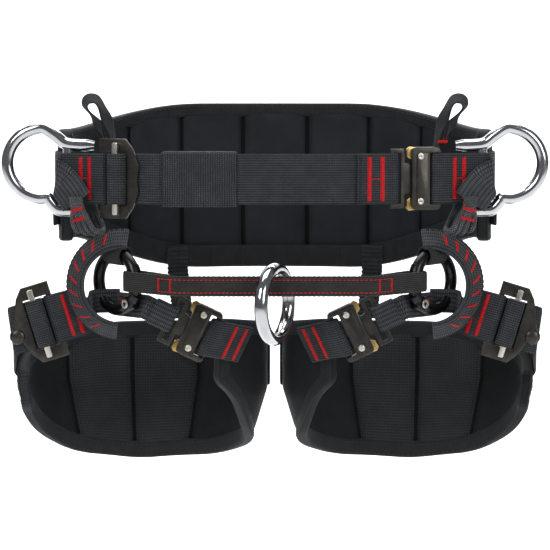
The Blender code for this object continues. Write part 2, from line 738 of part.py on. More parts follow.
LEG_TOP = ((-140, -0.129), (-95, -0.138), (-45, -0.146), (20, -0.148), (60, -0.160), (102.5, -0.186))
LEG_BOTTOM = ((-140, -0.182), (-110, -0.236), (-80, -0.256), (-45, -0.272), (5, -0.279),
              (45, -0.270), (75, -0.246), (102.5, -0.212))
LEG_FOLD_SHARE = 0.35


def curve_at(table, angle):
    """A height read from a short table of angles and heights."""
    for (a, low), (b, high) in zip(table, table[1:]):
        if angle <= b:
            return low + (high - low) * (angle - a) / (b - a)
    return table[-1][1]


def thigh_point(sign, angle, out, z):
    """A point outside the thigh opening. Angles are in degrees from the back, outward positive."""
    turn = math.radians(angle)
    share = 1 - THIGH_NARROW * max(0, THIGH_NARROW_FROM - z)
    return Vector((sign * (THIGH_X + (THIGH_HALF_X * share + out) * math.sin(turn)),
                   THIGH_Y + (THIGH_HALF_Y * share + out) * math.cos(turn), z))


def leg_angles():
    step = (LEG_OUTER_REACH - LEG_INNER_REACH) / LEG_PANELS
    return [LEG_INNER_REACH + step * k for k in range(LEG_PANELS + 1)]


def build_leg_pad(name, sign, leg):
    loops = []
    for angle in leg_angles():
        low, high = curve_at(LEG_BOTTOM, angle), curve_at(LEG_TOP, angle)
        fold = max(THIGH_NARROW_FROM, low + (high - low) * LEG_FOLD_SHARE)
        inside = [thigh_point(sign, angle, 0, z) for z in (high, fold, low)]
        outside = [thigh_point(sign, angle, LEG_PAD_THICK, z) for z in (low, fold, high)]
        loops.append(inside + outside)
    loft("leg_pad_" + name, loops, "pad_fabric", parent=leg)


LEG_BUCKLE = Vector((0.080, -0.0785, -0.1335))
LEG_BUCKLE_SLOPE = math.radians(25.5)
LEG_ADJUSTER = Vector((0.2145, -0.052, -0.1335))
LEG_ADJUSTER_SLOPE = math.radians(17)
LEG_HINGE_Y = -0.058
LEG_HINGE_Z = -0.128
LEG_TONGUE_STRAP = 0.0165


def build_leg_straps(name, sign, leg, adjuster, buckle):
    """The outer strap, its tab to the sleeve, and the inner tab to the buckle."""
    sleeve_end = Vector((sign * 0.177, -0.0425, -0.1235))
    v = adjuster.to_3x3() @ Y
    v = v if v.z > 0 else -v
    strap_loop("outer_tab_" + name, sleeve_end, WEB_THICK / 2 + STITCH_GAP,
               adjuster @ Vector((TAB_BAR_AT, 0, 0)), TAB_BAR_RADIUS, v, WEB_WIDTH, narrow=0.006)

    out = LEG_PAD_THICK + GAP + WEB_THICK / 2 + 0.0002
    heights = ((-90, -0.176), (-45, -0.188), (5, -0.194), (50, -0.188), (80, -0.172), (102.5, -0.158))
    around = [thigh_point(sign, a, out, curve_at(heights, a)) for a in leg_angles()[::-1] if a > -95]
    start = hairpin(adjuster, 0.022)
    away = [adjuster @ Vector((x, 0, -n)) for x, n in
            ((0.022, LOAD_DEPTH + 0.0004), (0.0285, LOAD_DEPTH + 0.004))]
    path = start + away + around
    across = [v] * (len(start) + 1) + [(v + Z).normalized()] + [Z] * len(around)
    band("leg_strap_" + name, path, across, WEB_WIDTH - 0.001, parent=leg, upright=True)

    inner = buckle.to_3x3() @ Y
    inner = inner if inner.z > 0 else -inner
    wing = Vector((sign * 0.0290, -0.0605, -0.1525))
    strap_loop("inner_tab_" + name, wing, WEB_THICK / 2 + STITCH_GAP,
               buckle @ Vector((END_BAR_AT, 0, 0)), END_BAR_RADIUS, inner, LEG_TAB_WIDTH - 0.003,
               parent=leg, narrow=0.007)


def build_leg(name, sign):
    hinge = Vector((sign * THIGH_X, LEG_HINGE_Y, LEG_HINGE_Z))
    leg = body("leg_" + name, hinge)
    build_leg_pad(name, sign, leg)

    slope = LEG_ADJUSTER_SLOPE
    adjuster = place((sign * LEG_ADJUSTER.x, LEG_ADJUSTER.y, LEG_ADJUSTER.z),
                     (sign * math.cos(slope), 0, -math.sin(slope)), -Y)
    prefix = "leg_adjuster_" + name
    build_adjuster(prefix, adjuster, True, leg)
    bar = body(prefix + "_bar", adjuster @ Vector((0, 0, BAR_LIFT)))
    build_adjuster_bar(prefix, adjuster, bar)

    slope = LEG_BUCKLE_SLOPE
    buckle = place((sign * LEG_BUCKLE.x, LEG_BUCKLE.y, LEG_BUCKLE.z),
                   (-sign * math.cos(slope), 0, -math.sin(slope)), -Y)
    prefix = "leg_buckle_" + name
    release = body("leg_tongue_" + name, buckle.translation)
    latches = [body("leg_latch_%s_%s" % (name, which), latch_pivot(buckle, LEG_TAB_WIDTH, side))
               for which, side in latch_sides(buckle)]
    build_buckle(prefix, buckle, LEG_TAB_WIDTH, leg, latches, release, False)
    build_tongue_strap("leg_tongue_strap_" + name, buckle, RING_STRAP_WIDTH, LEG_TONGUE_STRAP, release)
    build_leg_straps(name, sign, leg, adjuster, buckle)
    build_ring_strap(name, sign, buckle)


def build_ring_strap(name, sign, buckle):
    """The doubled strap from the fold behind the tongue, past the ring's front arm to its back."""
    v = buckle.to_3x3() @ Y
    v = v if v.z > 0 else -v
    centre, out = ring_centre(sign), ring_plane(sign)
    back = out.cross(Z)
    back = back if back.y > 0 else -back
    clear = RING_TUBE + GAP + RING_STRAP_THICK / 2 + 0.0004
    drop = Z * -0.0215
    path = [buckle @ Vector((MALE_BAR_AT - 0.0105, 0, 0)), buckle @ Vector((MALE_BAR_AT - 0.0225, 0, 0)),
            centre + out * (RING_RADIUS + 0.003) + back * (clear + 0.0006) + drop,
            centre + out * 0.008 + back * clear + drop, centre - out * 0.008 + back * clear + drop]
    across = [v, v, (v + Z).normalized(), Z, Z]
    band("ring_strap_" + name, path, across, RING_STRAP_WIDTH - 0.002, thick=RING_STRAP_THICK)


# ---------------------------------------------------------------- risers

def build_riser(name, sign):
    """The elastic from the back pad's lower edge to the leg pad, with its slider."""
    top = Vector((sign * 0.0955, 0.1044 - WEB_THICK, -0.074))
    bend = Vector((sign * 0.0955, 0.1039 - WEB_THICK, -0.098))
    foot = Vector((sign * 0.0900, 0.0830, -0.1435))
    panel = Vector((sign * 0.89, -0.455, 0))
    band("riser_" + name, [top, bend, foot], panel, RISER_WIDTH, thick=0.0018)
    run = (foot - bend).normalized()
    middle = bend + run * 0.013
    slide = body("riser_slider_" + name, middle)
    across = (panel - run * panel.dot(run)).normalized()
    hollow("riser_slider_" + name, [middle - run * 0.005, middle + run * 0.005], across,
           RISER_WIDTH + 0.0012, 0.0030, 0.0022, "plastic", slide)


def build():
    build_back_pad()
    build_gear_band()
    build_waist_belt()
    build_belt_front()
    build_bridge()
    for name, sign in SIDES:
        build_d_ring(name, sign)
        build_sling(name, sign)
        build_link_cord(name, sign)
        build_top_loop(name, sign)
        build_openable_ring(name, sign)
        build_sleeve(name, sign)
        build_riser(name, sign)
        build_leg(name, sign)


for old in list(bpy.data.objects):
    bpy.data.objects.remove(old)
MATERIALS = {name: material(name, *finish) for name, finish in FINISHES.items()}
build()
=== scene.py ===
"""Looks for the tree climbing saddle: webbing, pads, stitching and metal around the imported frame.

Metres, +Z up. The wearer's front is -Y, and left and right are as seen from the front.
"""
import math
from collections import namedtuple

import bmesh
import bpy
import numpy as np
from mathutils import Matrix, Vector, noise


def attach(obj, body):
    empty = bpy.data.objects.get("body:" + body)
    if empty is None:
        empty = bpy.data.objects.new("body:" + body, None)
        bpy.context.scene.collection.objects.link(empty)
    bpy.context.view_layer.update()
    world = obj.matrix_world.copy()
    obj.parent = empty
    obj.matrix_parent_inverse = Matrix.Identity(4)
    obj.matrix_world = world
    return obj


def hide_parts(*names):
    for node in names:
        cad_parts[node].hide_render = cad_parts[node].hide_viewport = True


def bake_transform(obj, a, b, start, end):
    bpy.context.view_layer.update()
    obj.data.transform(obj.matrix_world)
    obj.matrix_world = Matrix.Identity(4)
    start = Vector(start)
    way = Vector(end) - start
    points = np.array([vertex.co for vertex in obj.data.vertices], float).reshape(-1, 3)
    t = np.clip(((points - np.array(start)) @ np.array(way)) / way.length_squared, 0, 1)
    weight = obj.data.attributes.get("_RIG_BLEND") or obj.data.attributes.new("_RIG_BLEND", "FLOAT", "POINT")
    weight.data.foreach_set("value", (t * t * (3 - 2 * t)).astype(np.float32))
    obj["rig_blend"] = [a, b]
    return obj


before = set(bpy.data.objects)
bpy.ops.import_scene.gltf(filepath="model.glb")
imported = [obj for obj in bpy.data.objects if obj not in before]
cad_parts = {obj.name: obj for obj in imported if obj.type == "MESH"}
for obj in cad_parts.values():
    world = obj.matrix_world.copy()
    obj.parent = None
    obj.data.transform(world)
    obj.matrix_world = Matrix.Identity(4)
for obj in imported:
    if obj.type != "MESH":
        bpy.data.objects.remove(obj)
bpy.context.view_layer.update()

X, Y, Z = Vector((1, 0, 0)), Vector((0, 1, 0)), Vector((0, 0, 1))
SIDES = (("left", -1), ("right", 1))

# The belt's plan, as in the CAD
WEB_WIDTH = 0.045
WEB_THICK = 0.0024
GAP = 0.0004
STITCH_GAP = 0.0003
WAIST_X, WAIST_Y = 0.190, 0.125
PAD_THICK = 0.012
PAD_REACH = 104.0
PAD_PANELS = 11
LEFT_BAR, RIGHT_BAR = Vector((-0.186, -0.072, 0)), Vector((0.186, -0.072, 0))
LEFT_BEND, RIGHT_BEND = Vector((-0.112, -0.103, 0)), Vector((0.052, -0.103, 0))
LEFT_RUN = (LEFT_BEND - LEFT_BAR).normalized()
RIGHT_RUN = (RIGHT_BAR - RIGHT_BEND).normalized()
TACK_HALF = 0.0195
RING_RADIUS, RING_TUBE = 0.0255, 0.0055
RING_X, RING_Y, RING_Z = 0.1435, -0.058, -0.095
BRIDGE_Z = -0.093
BRIDGE_WIDTH, BRIDGE_THICK = 0.018, 0.0034
BRIDGE_BOW, BRIDGE_FLAT = 0.050, 0.086
BRIDGE_RING_RADIUS, BRIDGE_RING_TUBE = 0.031, 0.006
D_RING_RADIUS, D_RING_BAR, D_RING_HALF = 0.0315, 0.0055, 0.0292
THIGH_X, THIGH_Y = 0.125, 0.005
THIGH_HALF_X, THIGH_HALF_Y = 0.107, 0.078
THIGH_NARROW_FROM = -0.200
THIGH_NARROW = 2.8
LEG_PAD_THICK = 0.011
LEG_INNER_REACH, LEG_OUTER_REACH = -140.0, 102.5

# Fittings
FRAME_THICK = 0.003
TAB_BAR_AT, TAB_BAR_RADIUS = -0.015, 0.0046
HAIRPIN_HALF, HAIRPIN_FRONT = 0.0068, 0.0088
LOAD_DEPTH = FRAME_THICK / 2 + GAP + WEB_THICK / 2 + 0.0003
TAIL_DEPTH = LOAD_DEPTH + WEB_THICK + 2 * GAP
END_BAR_AT, END_BAR_RADIUS = 0.024, 0.0054
MALE_BAR_AT, MALE_LOOP_RADIUS = -0.017, 0.0042
LATCH_PIVOT_X = 0.008
BUCKLE_THICK, BUCKLE_SIDE = 0.0104, 0.0055


# ---------------------------------------------------------------- materials

class Nodes:
    """A short way to build a material's nodes."""

    def __init__(self, name, colour, roughness, metallic=0.0, **sockets):
        self.material = bpy.data.materials.new(name)
        self.material.use_nodes = True
        self.tree = self.material.node_tree
        self.shader = self.tree.nodes["Principled BSDF"]
        self.shader.inputs["Base Color"].default_value = (*colour, 1)
        self.shader.inputs["Roughness"].default_value = roughness
        self.shader.inputs["Metallic"].default_value = metallic
        for socket, value in sockets.items():
            self.shader.inputs[socket.replace("_", " ")].default_value = value
        self.bumps = None

    def add(self, kind, *links, **settings):
        node = self.tree.nodes.new("ShaderNode" + kind)
        for key, value in settings.items():
            if hasattr(node, key):
                setattr(node, key, value)
            else:
                node.inputs[key.replace("_", " ")].default_value = value
        for i, link in enumerate(links):
            if isinstance(link, (int, float)):
                node.inputs[i].default_value = link
            else:
                self.tree.links.new(link, node.inputs[i])
        return node

    def math(self, operation, a, b=0.0, clamp=False):
        return self.add("Math", a, b, operation=operation, use_clamp=clamp).outputs[0]

    def times(self, a, b):
        return self.math("MULTIPLY", a, b)

    def plus(self, a, b, clamp=False):
        return self.math("ADD", a, b, clamp)

    def uv(self):
        split = self.add("SeparateXYZ", self.add("UVMap", uv_map="UVMap").outputs[0])
        return split.outputs[0], split.outputs[1]

    def place(self):
        return self.add("TexCoord").outputs["Object"]

    def noise(self, scale, detail=3.0, roughness=0.6, where=None):
        node = self.add("TexNoise", where or self.place(), Scale=scale, Detail=detail)
        node.inputs["Roughness"].default_value = roughness
        return node.outputs["Fac"]

    def spread(self, value, low, high, out_low=0.0, out_high=1.0):
        node = self.add("MapRange", value)
        for i, number in enumerate((low, high, out_low, out_high)):
            node.inputs[1 + i].default_value = number
        return node.outputs[0]

    def bump(self, height, distance, strength=1.0):
        node = self.add("Bump", Strength=strength, Distance=distance)
        self.tree.links.new(height, node.inputs["Height"])
        if self.bumps:
            self.tree.links.new(self.bumps, node.inputs["Normal"])
        self.bumps = node.outputs[0]
        self.tree.links.new(self.bumps, self.shader.inputs["Normal"])

    def colour(self, factor, low, high):
        node = self.add("Mix", data_type="RGBA")
        self.tree.links.new(factor, node.inputs["Factor"])
        node.inputs[6].default_value = (*low, 1)
        node.inputs[7].default_value = (*high, 1)
        self.tree.links.new(node.outputs[2], self.shader.inputs["Base Color"])

    def rough(self, factor, low, high):
        self.tree.links.new(self.spread(factor, 0, 1, low, high), self.shader.inputs["Roughness"])


def wave(m, value, period, shift=0.0):
    """A sine from 0 to 1 along a coordinate, repeating every so many metres."""
    turned = m.math("SINE", m.plus(m.times(value, 2 * math.pi / period), shift))
    return m.plus(m.times(turned, 0.5), 0.5)


def stagger(m, value, pitch, amount):
    """Plus or minus an amount, changing at every pitch."""
    return m.times(m.math("SIGN", m.math("SUBTRACT", wave(m, value, 2 * pitch), 0.5)), amount)


def woven(name, dark, light, along, across, depth=0.00035, picks=0.6):
    """Webbing: warp ribs along the strap crossed by weft picks, with painted highlight on the rib tops and
    painted shade in the hollows.
    """
    roughness = 0.72
    m = Nodes(name, dark, roughness, Specular_IOR_Level=0.22, Sheen_Weight=0.07, Sheen_Roughness=0.45)
    m.shader.inputs["Sheen Tint"].default_value = (0.62, 0.66, 0.72, 1)
    u, v = m.uv()
    rib = wave(m, v, across)
    pick = wave(m, u, along, stagger(m, v, across, 0.8))
    ribs = m.math("POWER", rib, 1.2 - picks)
    height = m.times(ribs, m.plus(m.times(pick, picks), 1 - picks))
    # Colour follows the rib height: painted highlight on the rib tops, painted shade in the hollows, with
    # random tone from the noise.
    painted_rib_light_and_wear = m.times(height, m.spread(m.noise(90), 0.3, 0.75, 0.55, 1.0))
    m.colour(painted_rib_light_and_wear, dark, light)
    m.rough(painted_rib_light_and_wear, roughness + 0.12, roughness - 0.1)
    m.bump(height, depth)
    return m.material


def smooth_cloth(name, dark, light, roughness=0.62, grain=0.0011, depth=0.00012):
    """Tightly knitted cloth over foam: a very fine grain, and soft creases."""
    m = Nodes(name, dark, roughness, Specular_IOR_Level=0.2, Sheen_Weight=0.05, Sheen_Roughness=0.4)
    m.shader.inputs["Sheen Tint"].default_value = (0.55, 0.62, 0.70, 1)
    u, v = m.uv()
    knit = m.times(wave(m, m.plus(u, v), grain), wave(m, m.math("SUBTRACT", u, v), grain))
    patch = m.spread(m.noise(26, 4.0), 0.3, 0.75)
    m.colour(m.times(m.plus(m.times(knit, 0.5), 0.5), patch), dark, light)
    m.rough(patch, roughness + 0.08, roughness - 0.06)
    m.bump(knit, depth, 0.6)
    m.bump(m.noise(70, 2.0), 0.0006, 0.35)
    return m.material


def spacer_mesh(name, dark, light, pitch=0.0027):
    """Open spacer mesh: rows of small holes in a slightly lighter knit."""
    m = Nodes(name, dark, 0.7, Specular_IOR_Level=0.2, Sheen_Weight=0.05, Sheen_Roughness=0.4)
    m.shader.inputs["Sheen Tint"].default_value = (0.55, 0.60, 0.66, 1)
    u, v = m.uv()
    across = wave(m, u, pitch, stagger(m, v, pitch, math.pi / 4))
    hole = m.spread(m.times(across, wave(m, v, pitch)), 0.32, 0.62)
    knit = m.math("SUBTRACT", 1.0, hole)
    shade = m.times(knit, m.spread(m.noise(40), 0.25, 0.8, 0.55, 1.0))
    m.colour(shade, dark, light)
    m.bump(knit, 0.0007)
    return m.material


def braided(name, dark, light, pitch=0.0024):
    """Braided cord: two sets of strands that cross on the slant."""
    m = Nodes(name, dark, 0.7, Specular_IOR_Level=0.2, Sheen_Weight=0.06, Sheen_Roughness=0.4)
    u, v = m.uv()
    one = wave(m, m.plus(u, v), pitch)
    other = wave(m, m.math("SUBTRACT", u, v), pitch)
    strands = m.math("MAXIMUM", m.math("POWER", one, 4.0), m.math("POWER", other, 4.0))
    m.colour(m.times(strands, m.spread(m.noise(160), 0.3, 0.7, 0.4, 1.0)), dark, light)
    m.bump(strands, 0.0004)
    return m.material


def thread(name, dark, light):
    """Twisted sewing thread with a soft gloss."""
    m = Nodes(name, dark, 0.45, Specular_IOR_Level=0.25)
    twist = m.noise(900, 2.0)
    m.colour(m.spread(twist, 0.3, 0.7), dark, light)
    m.bump(twist, 0.0002, 0.6)
    return m.material


def metal(name, dark, light, low, high, grain=240.0, depth=0.00004, scratch_and_reflection_stretch=(1.0, 1.0, 12.0)):
    """Metal with faint directional scratches and smudges that vary its gloss, its colour streaked along the
    scratches as painted reflection.
    """
    m = Nodes(name, dark, low, 1.0)
    stretch = m.add("Mapping", m.place(), vector_type="POINT")
    stretch.inputs["Scale"].default_value = scratch_and_reflection_stretch
    fine = m.noise(grain, 4.0, 0.7, stretch.outputs[0])
    smudge = m.spread(m.noise(34, 3.0), 0.35, 0.7)
    # Colour: the stretched noise paints dark and light streaks as painted reflection of the surroundings,
    # and the smudge noise darkens it at random.
    m.colour(m.times(m.spread(fine, 0.25, 0.75), smudge), dark, light)
    m.rough(m.times(smudge, m.spread(fine, 0.3, 0.7, 0.4, 1.0)), low, high)
    m.bump(fine, depth, 0.5)
    return m.material


def coated(name, dark, light, low, high):
    """Dark plated or anodised metal: slight mottling, with the high spots rubbed brighter."""
    m = Nodes(name, dark, low, 0.85, Coat_Weight=0.15, Coat_Roughness=0.2)
    mottle = m.spread(m.noise(55, 5.0, 0.7), 0.35, 0.75)
    specks = m.spread(m.noise(700, 2.0), 0.62, 0.8)
    edge = m.spread(m.add("NewGeometry").outputs["Pointiness"], 0.51, 0.56)
    painted_rib_light_and_wear = m.plus(m.times(mottle, 0.35), m.times(edge, specks), True)
    m.colour(painted_rib_light_and_wear, dark, light)
    m.rough(mottle, high, low)
    m.bump(m.noise(420, 3.0), 0.00005, 0.4)
    return m.material


def moulded(name, colour, roughness):
    """Moulded plastic with a fine spark texture."""
    m = Nodes(name, colour, roughness)
    m.rough(m.spread(m.noise(60), 0.3, 0.7), roughness - 0.08, roughness + 0.12)
    m.bump(m.noise(1200, 2.0), 0.00008, 0.6)
    return m.material


BLACK = (0.0045, 0.005, 0.006)
MATERIALS = {
    "webbing": {
        # Each woven webbing runs from its first colour in the hollows, painted shade, to its second colour
        # on the rib tops, painted highlight.
        "webbing": woven("heavy_webbing", BLACK, (0.066, 0.075, 0.084), 0.0020, 0.0021),
        "ribbed": woven("ribbed_webbing", BLACK, (0.115, 0.125, 0.138), 0.0016, 0.0040, 0.0005, picks=0.9),
        "picot": woven("bridge_weave", (0.005, 0.005, 0.005), (0.060, 0.060, 0.056), 0.0015, 0.0017),
        "elastic": woven("ruched_elastic", BLACK, (0.050, 0.060, 0.062), 0.0016, 0.0013, 0.0003),
        "tape": woven("binding_tape", BLACK, (0.030, 0.034, 0.038), 0.0010, 0.0009, 0.00015),
        "red": thread("red_thread", (0.30, 0.002, 0.005), (0.66, 0.008, 0.014)),
        "black": thread("dark_thread", (0.006, 0.0065, 0.007), (0.026, 0.028, 0.031)),
    },
    "pad_fabric": {
        "cloth": smooth_cloth("pad_cloth", (0.0065, 0.0085, 0.0105), (0.0165, 0.0215, 0.0265)),
        "channel": smooth_cloth("pad_channel", (0.0012, 0.0014, 0.0016), (0.0032, 0.0036, 0.0040), 0.9),
        "shell": smooth_cloth("pad_shell", (0.004, 0.0045, 0.005), (0.011, 0.012, 0.013), 0.7),
        "mesh": spacer_mesh("spacer_mesh", (0.0018, 0.0020, 0.0022), (0.030, 0.033, 0.036)),
    },
}
LOOKS = {look: (material, slot) for slot, group in MATERIALS.items() for look, material in group.items()}
for look, material in (
        ("cord", braided("braided_cord", (0.004, 0.004, 0.005), (0.19, 0.20, 0.215))),
        # For each metal the two colours are the dark and light ends of its painted reflection streaks.
        ("polished", metal("polished_aluminium", (0.52, 0.53, 0.55), (0.72, 0.73, 0.75), 0.09, 0.20)),
        ("nickel", metal("nickel_plate", (0.60, 0.58, 0.52), (0.80, 0.78, 0.70), 0.25, 0.42)),
        ("brass", metal("brass_plate", (0.55, 0.36, 0.12), (0.74, 0.54, 0.24), 0.24, 0.42)),
        ("gunmetal", coated("gunmetal_plate", (0.028, 0.026, 0.023), (0.17, 0.155, 0.13), 0.26, 0.42)),
        ("anodised", coated("black_anodising", (0.012, 0.012, 0.014), (0.05, 0.05, 0.055), 0.22, 0.38)),
        ("plastic", moulded("black_plastic", (0.010, 0.010, 0.011), 0.45))):
    LOOKS[look] = (material, look)


# ---------------------------------------------------------------- shared geometry

def hold(piece, body):
    """Ride on one body, or bend between two given as (body, body, start, end)."""
    if isinstance(body, str):
        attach(piece, body)
    else:
        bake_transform(piece, *body)


def finish(name, mesh, body, looks, nodes=()):
    """Make an object of a mesh in the frame's coordinates and hold it on its body."""
    bm = bmesh.new()
    bm.from_mesh(mesh)
    bmesh.ops.recalc_face_normals(bm, faces=bm.faces)
    if bm.calc_volume(signed=True) < 0:
        bmesh.ops.reverse_faces(bm, faces=bm.faces)
    bm.to_mesh(mesh)
    bm.free()
    for look in looks:
        mesh.materials.append(LOOKS[look][0])
    mesh.shade_smooth()
    mesh.set_sharp_from_angle(angle=math.radians(50))
    piece = bpy.data.objects.new(name, mesh)
    bpy.context.scene.collection.objects.link(piece)
    hold(piece, body)
    if nodes:
        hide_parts(*nodes)
    return piece


def skin(name, loops, us, vs, body, looks, nodes=(), closed=False, faces_look=None):
    """Skin a row of equal loops. us holds a length for each row, vs one for each column and the last."""
    loops = np.asarray(loops)
    rows, columns = loops.shape[:2]
    faces, uvs, picked = [], [], []
    for r in range(rows if closed else rows - 1):
        nxt = (r + 1) % rows
        u0, u1 = us[r], us[r + 1]
        for c in range(columns):
            d = (c + 1) % columns
            faces.append((r * columns + c, r * columns + d, nxt * columns + d, nxt * columns + c))
            uvs += [(u0, vs[c]), (u0, vs[c + 1]), (u1, vs[c + 1]), (u1, vs[c])]
            picked.append(faces_look(r, c) if faces_look else 0)
    if not closed:
        for r in (0, rows - 1):
            faces.append(tuple(r * columns + c for c in range(columns)))
            uvs += [(us[r], vs[c]) for c in range(columns)]
            picked.append(0)
    mesh = bpy.data.meshes.new(name)
    mesh.from_pydata([tuple(p) for p in loops.reshape(-1, 3)], [], faces)
    layer = mesh.uv_layers.new(name="UVMap")
    layer.data.foreach_set("uv", np.array(uvs, np.float32).ravel())
    mesh.polygons.foreach_set("material_index", picked)
    return finish(name, mesh, body, looks, nodes)


def sampled(points, across, closed, step, rounds):
    """Fine, softened samples of a path and of its width direction."""
    p, a = np.array([tuple(q) for q in points]), np.array([tuple(q) for q in across])
    if closed:
        p, a = np.vstack([p, p[:1]]), np.vstack([a, a[:1]])
    fine_p, fine_a = [], []
    for i in range(len(p) - 1):
        count = max(1, int(math.ceil(np.linalg.norm(p[i + 1] - p[i]) / step)))
        for k in range(count):
            t = k / count
            fine_p.append(p[i] * (1 - t) + p[i + 1] * t)
            fine_a.append(a[i] * (1 - t) + a[i + 1] * t)
    if not closed:
        fine_p.append(p[-1])
        fine_a.append(a[-1])
    p, a = np.array(fine_p), np.array(fine_a)
    for _ in range(rounds):
        for q in (p, a):
            soft = 0.25 * np.roll(q, 1, 0) + 0.5 * q + 0.25 * np.roll(q, -1, 0)
            if not closed:
                soft[0], soft[-1] = q[0], q[-1]
            q[:] = soft
    return p, a


def unit(v):
    return v / np.linalg.norm(v, axis=-1, keepdims=True)


class Run:
    """A strap's middle line with its width and face directions, which stitches are placed by.

    across is the width's direction, one for the whole strap or one for each point.
    """

    def __init__(self, points, across, width, thick, closed=False, upright=False, step=0.002,
                 rounds=3, bulge=None):
        if isinstance(across, Vector):
            across = [across] * len(points)
        self.width, self.thick, self.closed = width, thick, closed
        self.p, a = sampled(points, across, closed, step, rounds)
        after, before = np.roll(self.p, -1, 0), np.roll(self.p, 1, 0)
        if not closed:
            after[-1], before[0] = self.p[-1], self.p[0]
        along = unit(after - before)
        if not upright:
            a = a - along * np.sum(a * along, 1, keepdims=True)
        self.side = unit(a)
        self.face = unit(np.cross(along, self.side))
        gaps = np.linalg.norm(np.roll(self.p, -1, 0) - self.p, axis=1)
        self.s = np.concatenate([[0], np.cumsum(gaps)])[:len(self.p) + (1 if closed else 0)]
        if bulge:
            self.p = self.p + self.face * np.array([bulge(s) for s in self.s[:len(self.p)]])[:, None]
        self.length = self.s[-1]

    def at(self, s, v, lift=0.0):
        """The point s metres along, v across and lift above the middle, with the face's direction."""
        s = min(max(s, 0), self.length)
        i = int(np.searchsorted(self.s, s, side="right")) - 1
        i = min(i, len(self.p) - (1 if self.closed else 2))
        j = (i + 1) % len(self.p)
        t = (s - self.s[i]) / max(self.s[min(i + 1, len(self.s) - 1)] - self.s[i], 1e-9)
        mix = lambda q: q[i] * (1 - t) + q[j] * t
        face = mix(self.face)
        return Vector(mix(self.p) + mix(self.side) * v + face * lift), Vector(face)

    def near(self, point):
        """How far along the strap comes nearest to a point."""
        return float(self.s[int(np.argmin(np.linalg.norm(self.p - np.array(tuple(point)), axis=1)))])


SECTION_POINTS = 20


def strap(name, nodes, body, run, look="webbing", edge=None):
    """Webbing along a run: a flat section with soft, slightly rolled edges."""
    loops = []
    turns = [2 * math.pi * (k + 0.5) / SECTION_POINTS for k in range(SECTION_POINTS)]
    outline = []
    for a in turns:
        c, s = math.cos(a), math.sin(a)
        outline.append((math.copysign(abs(c) ** 0.3, c), math.copysign(abs(s) ** 0.55, s)))
    for i in range(len(run.p)):
        half = run.width / 2 * (1 + (edge(run.s[i]) if edge else 0))
        loops.append([run.p[i] + run.side[i] * (x * half) + run.face[i] * (y * run.thick / 2)
                      for x, y in outline])
    vs = [x * run.width / 2 for x, _ in outline]
    return skin(name, loops, run.s, vs + vs[:1], body, [look], nodes, run.closed)


def smooth_path(points, per_span=6, closed=False):
    """A Catmull-Rom curve through the points."""
    points = [Vector(p) for p in points]
    count = len(points)
    path = []
    for i in range(count if closed else count - 1):
        here, there = points[i], points[(i + 1) % count]
        before = points[i - 1] if closed or i > 0 else 2 * here - there
        beyond = points[(i + 2) % count] if closed or i < count - 2 else 2 * there - here
        for k in range(per_span):
            t = k / per_span
            path.append(0.5 * (2 * here + (there - before) * t
                               + (2 * before - 5 * here + 4 * there - beyond) * t ** 2
                               + (3 * here - before - 3 * there + beyond) * t ** 3))
    if not closed:
        path.append(points[-1].copy())
    return path


def tube(name, nodes, body, path, radius, plane, look, closed=False, sides=28, shape=None):
    """A round bar along a path. shape gives each point's width and height as shares of the radius."""
    p = np.array([tuple(q) for q in path])
    after, before = np.roll(p, -1, 0), np.roll(p, 1, 0)
    if not closed:
        after[-1], before[0] = p[-1], p[0]
    along = unit(after - before)
    plane = np.array(tuple(plane))
    side = unit(plane - along * (along @ plane)[:, None])
    other = np.cross(along, side)
    lengths = np.linalg.norm(np.roll(p, -1, 0) - p, axis=1)
    us = np.concatenate([[0], np.cumsum(lengths)])
    turns = [2 * math.pi * k / sides for k in range(sides + 1)]
    loops = []
    for i in range(len(p)):
        wide, high = shape(i / (len(p) - 1)) if shape else (1, 1)
        loops.append([p[i] + (side[i] * (math.cos(a) * wide) + other[i] * (math.sin(a) * high)) * radius
                      for a in turns[:-1]])
    return skin(name, loops, us, [a * radius for a in turns], body, [look], nodes, closed)


def arc(centre, out, up, radius, start, stop, steps):
    """Points of an arc from start to stop degrees, measured from out towards up."""
    angles = [math.radians(start + (stop - start) * k / steps) for k in range(steps + 1)]
    return [centre + (out * math.cos(a) + up * math.sin(a)) * radius for a in angles]


def place(origin, along, front):
    """A frame whose x runs along a strap, z faces out of it and y runs across it."""
    along = Vector(along).normalized()
    front = Vector(front)
    front = (front - along * front.dot(along)).normalized()
    made = Matrix((along, front.cross(along), front)).transposed().to_4x4()
    made.translation = Vector(origin)
    return made


def spot(at, x, lift=0.0):
    """A point on a frame's own x axis, or lifted off it."""
    return at @ Vector((x, 0, lift))


def strap_loop(start, start_radius, end, end_radius, across, width, narrow=0.010):
    """A closed webbing loop round two bars, sewn flat between them. Radii are to its middle."""
    along = (end - start).normalized()
    out = along.cross(across).normalized()
    flat = WEB_THICK / 2 + STITCH_GAP
    near, far = start + along * (start_radius + narrow), end - along * (end_radius + narrow)
    path = arc(start, -along, out, start_radius, 80, -80, 10)
    path += [near - out * flat, far - out * flat]
    path += arc(end, along, -out, end_radius, 80, -80, 10)
    path += [far + out * flat, near + out * flat]
    return Run(path, across, width, WEB_THICK, True, True)


# ---------------------------------------------------------------- stitching

THREADS = {}


def stitch(body, look, p, q, up, radius=0.00042):
    """Note one stitch from p to q, to be made with the others of its body and thread."""
    THREADS.setdefault((body, look), []).append((p, q, up, radius))


def facing(run, s, direction):
    """Which face of the strap looks along a direction: 1 or -1."""
    return 1 if run.at(s, 0)[1].dot(Vector(direction)) > 0 else -1


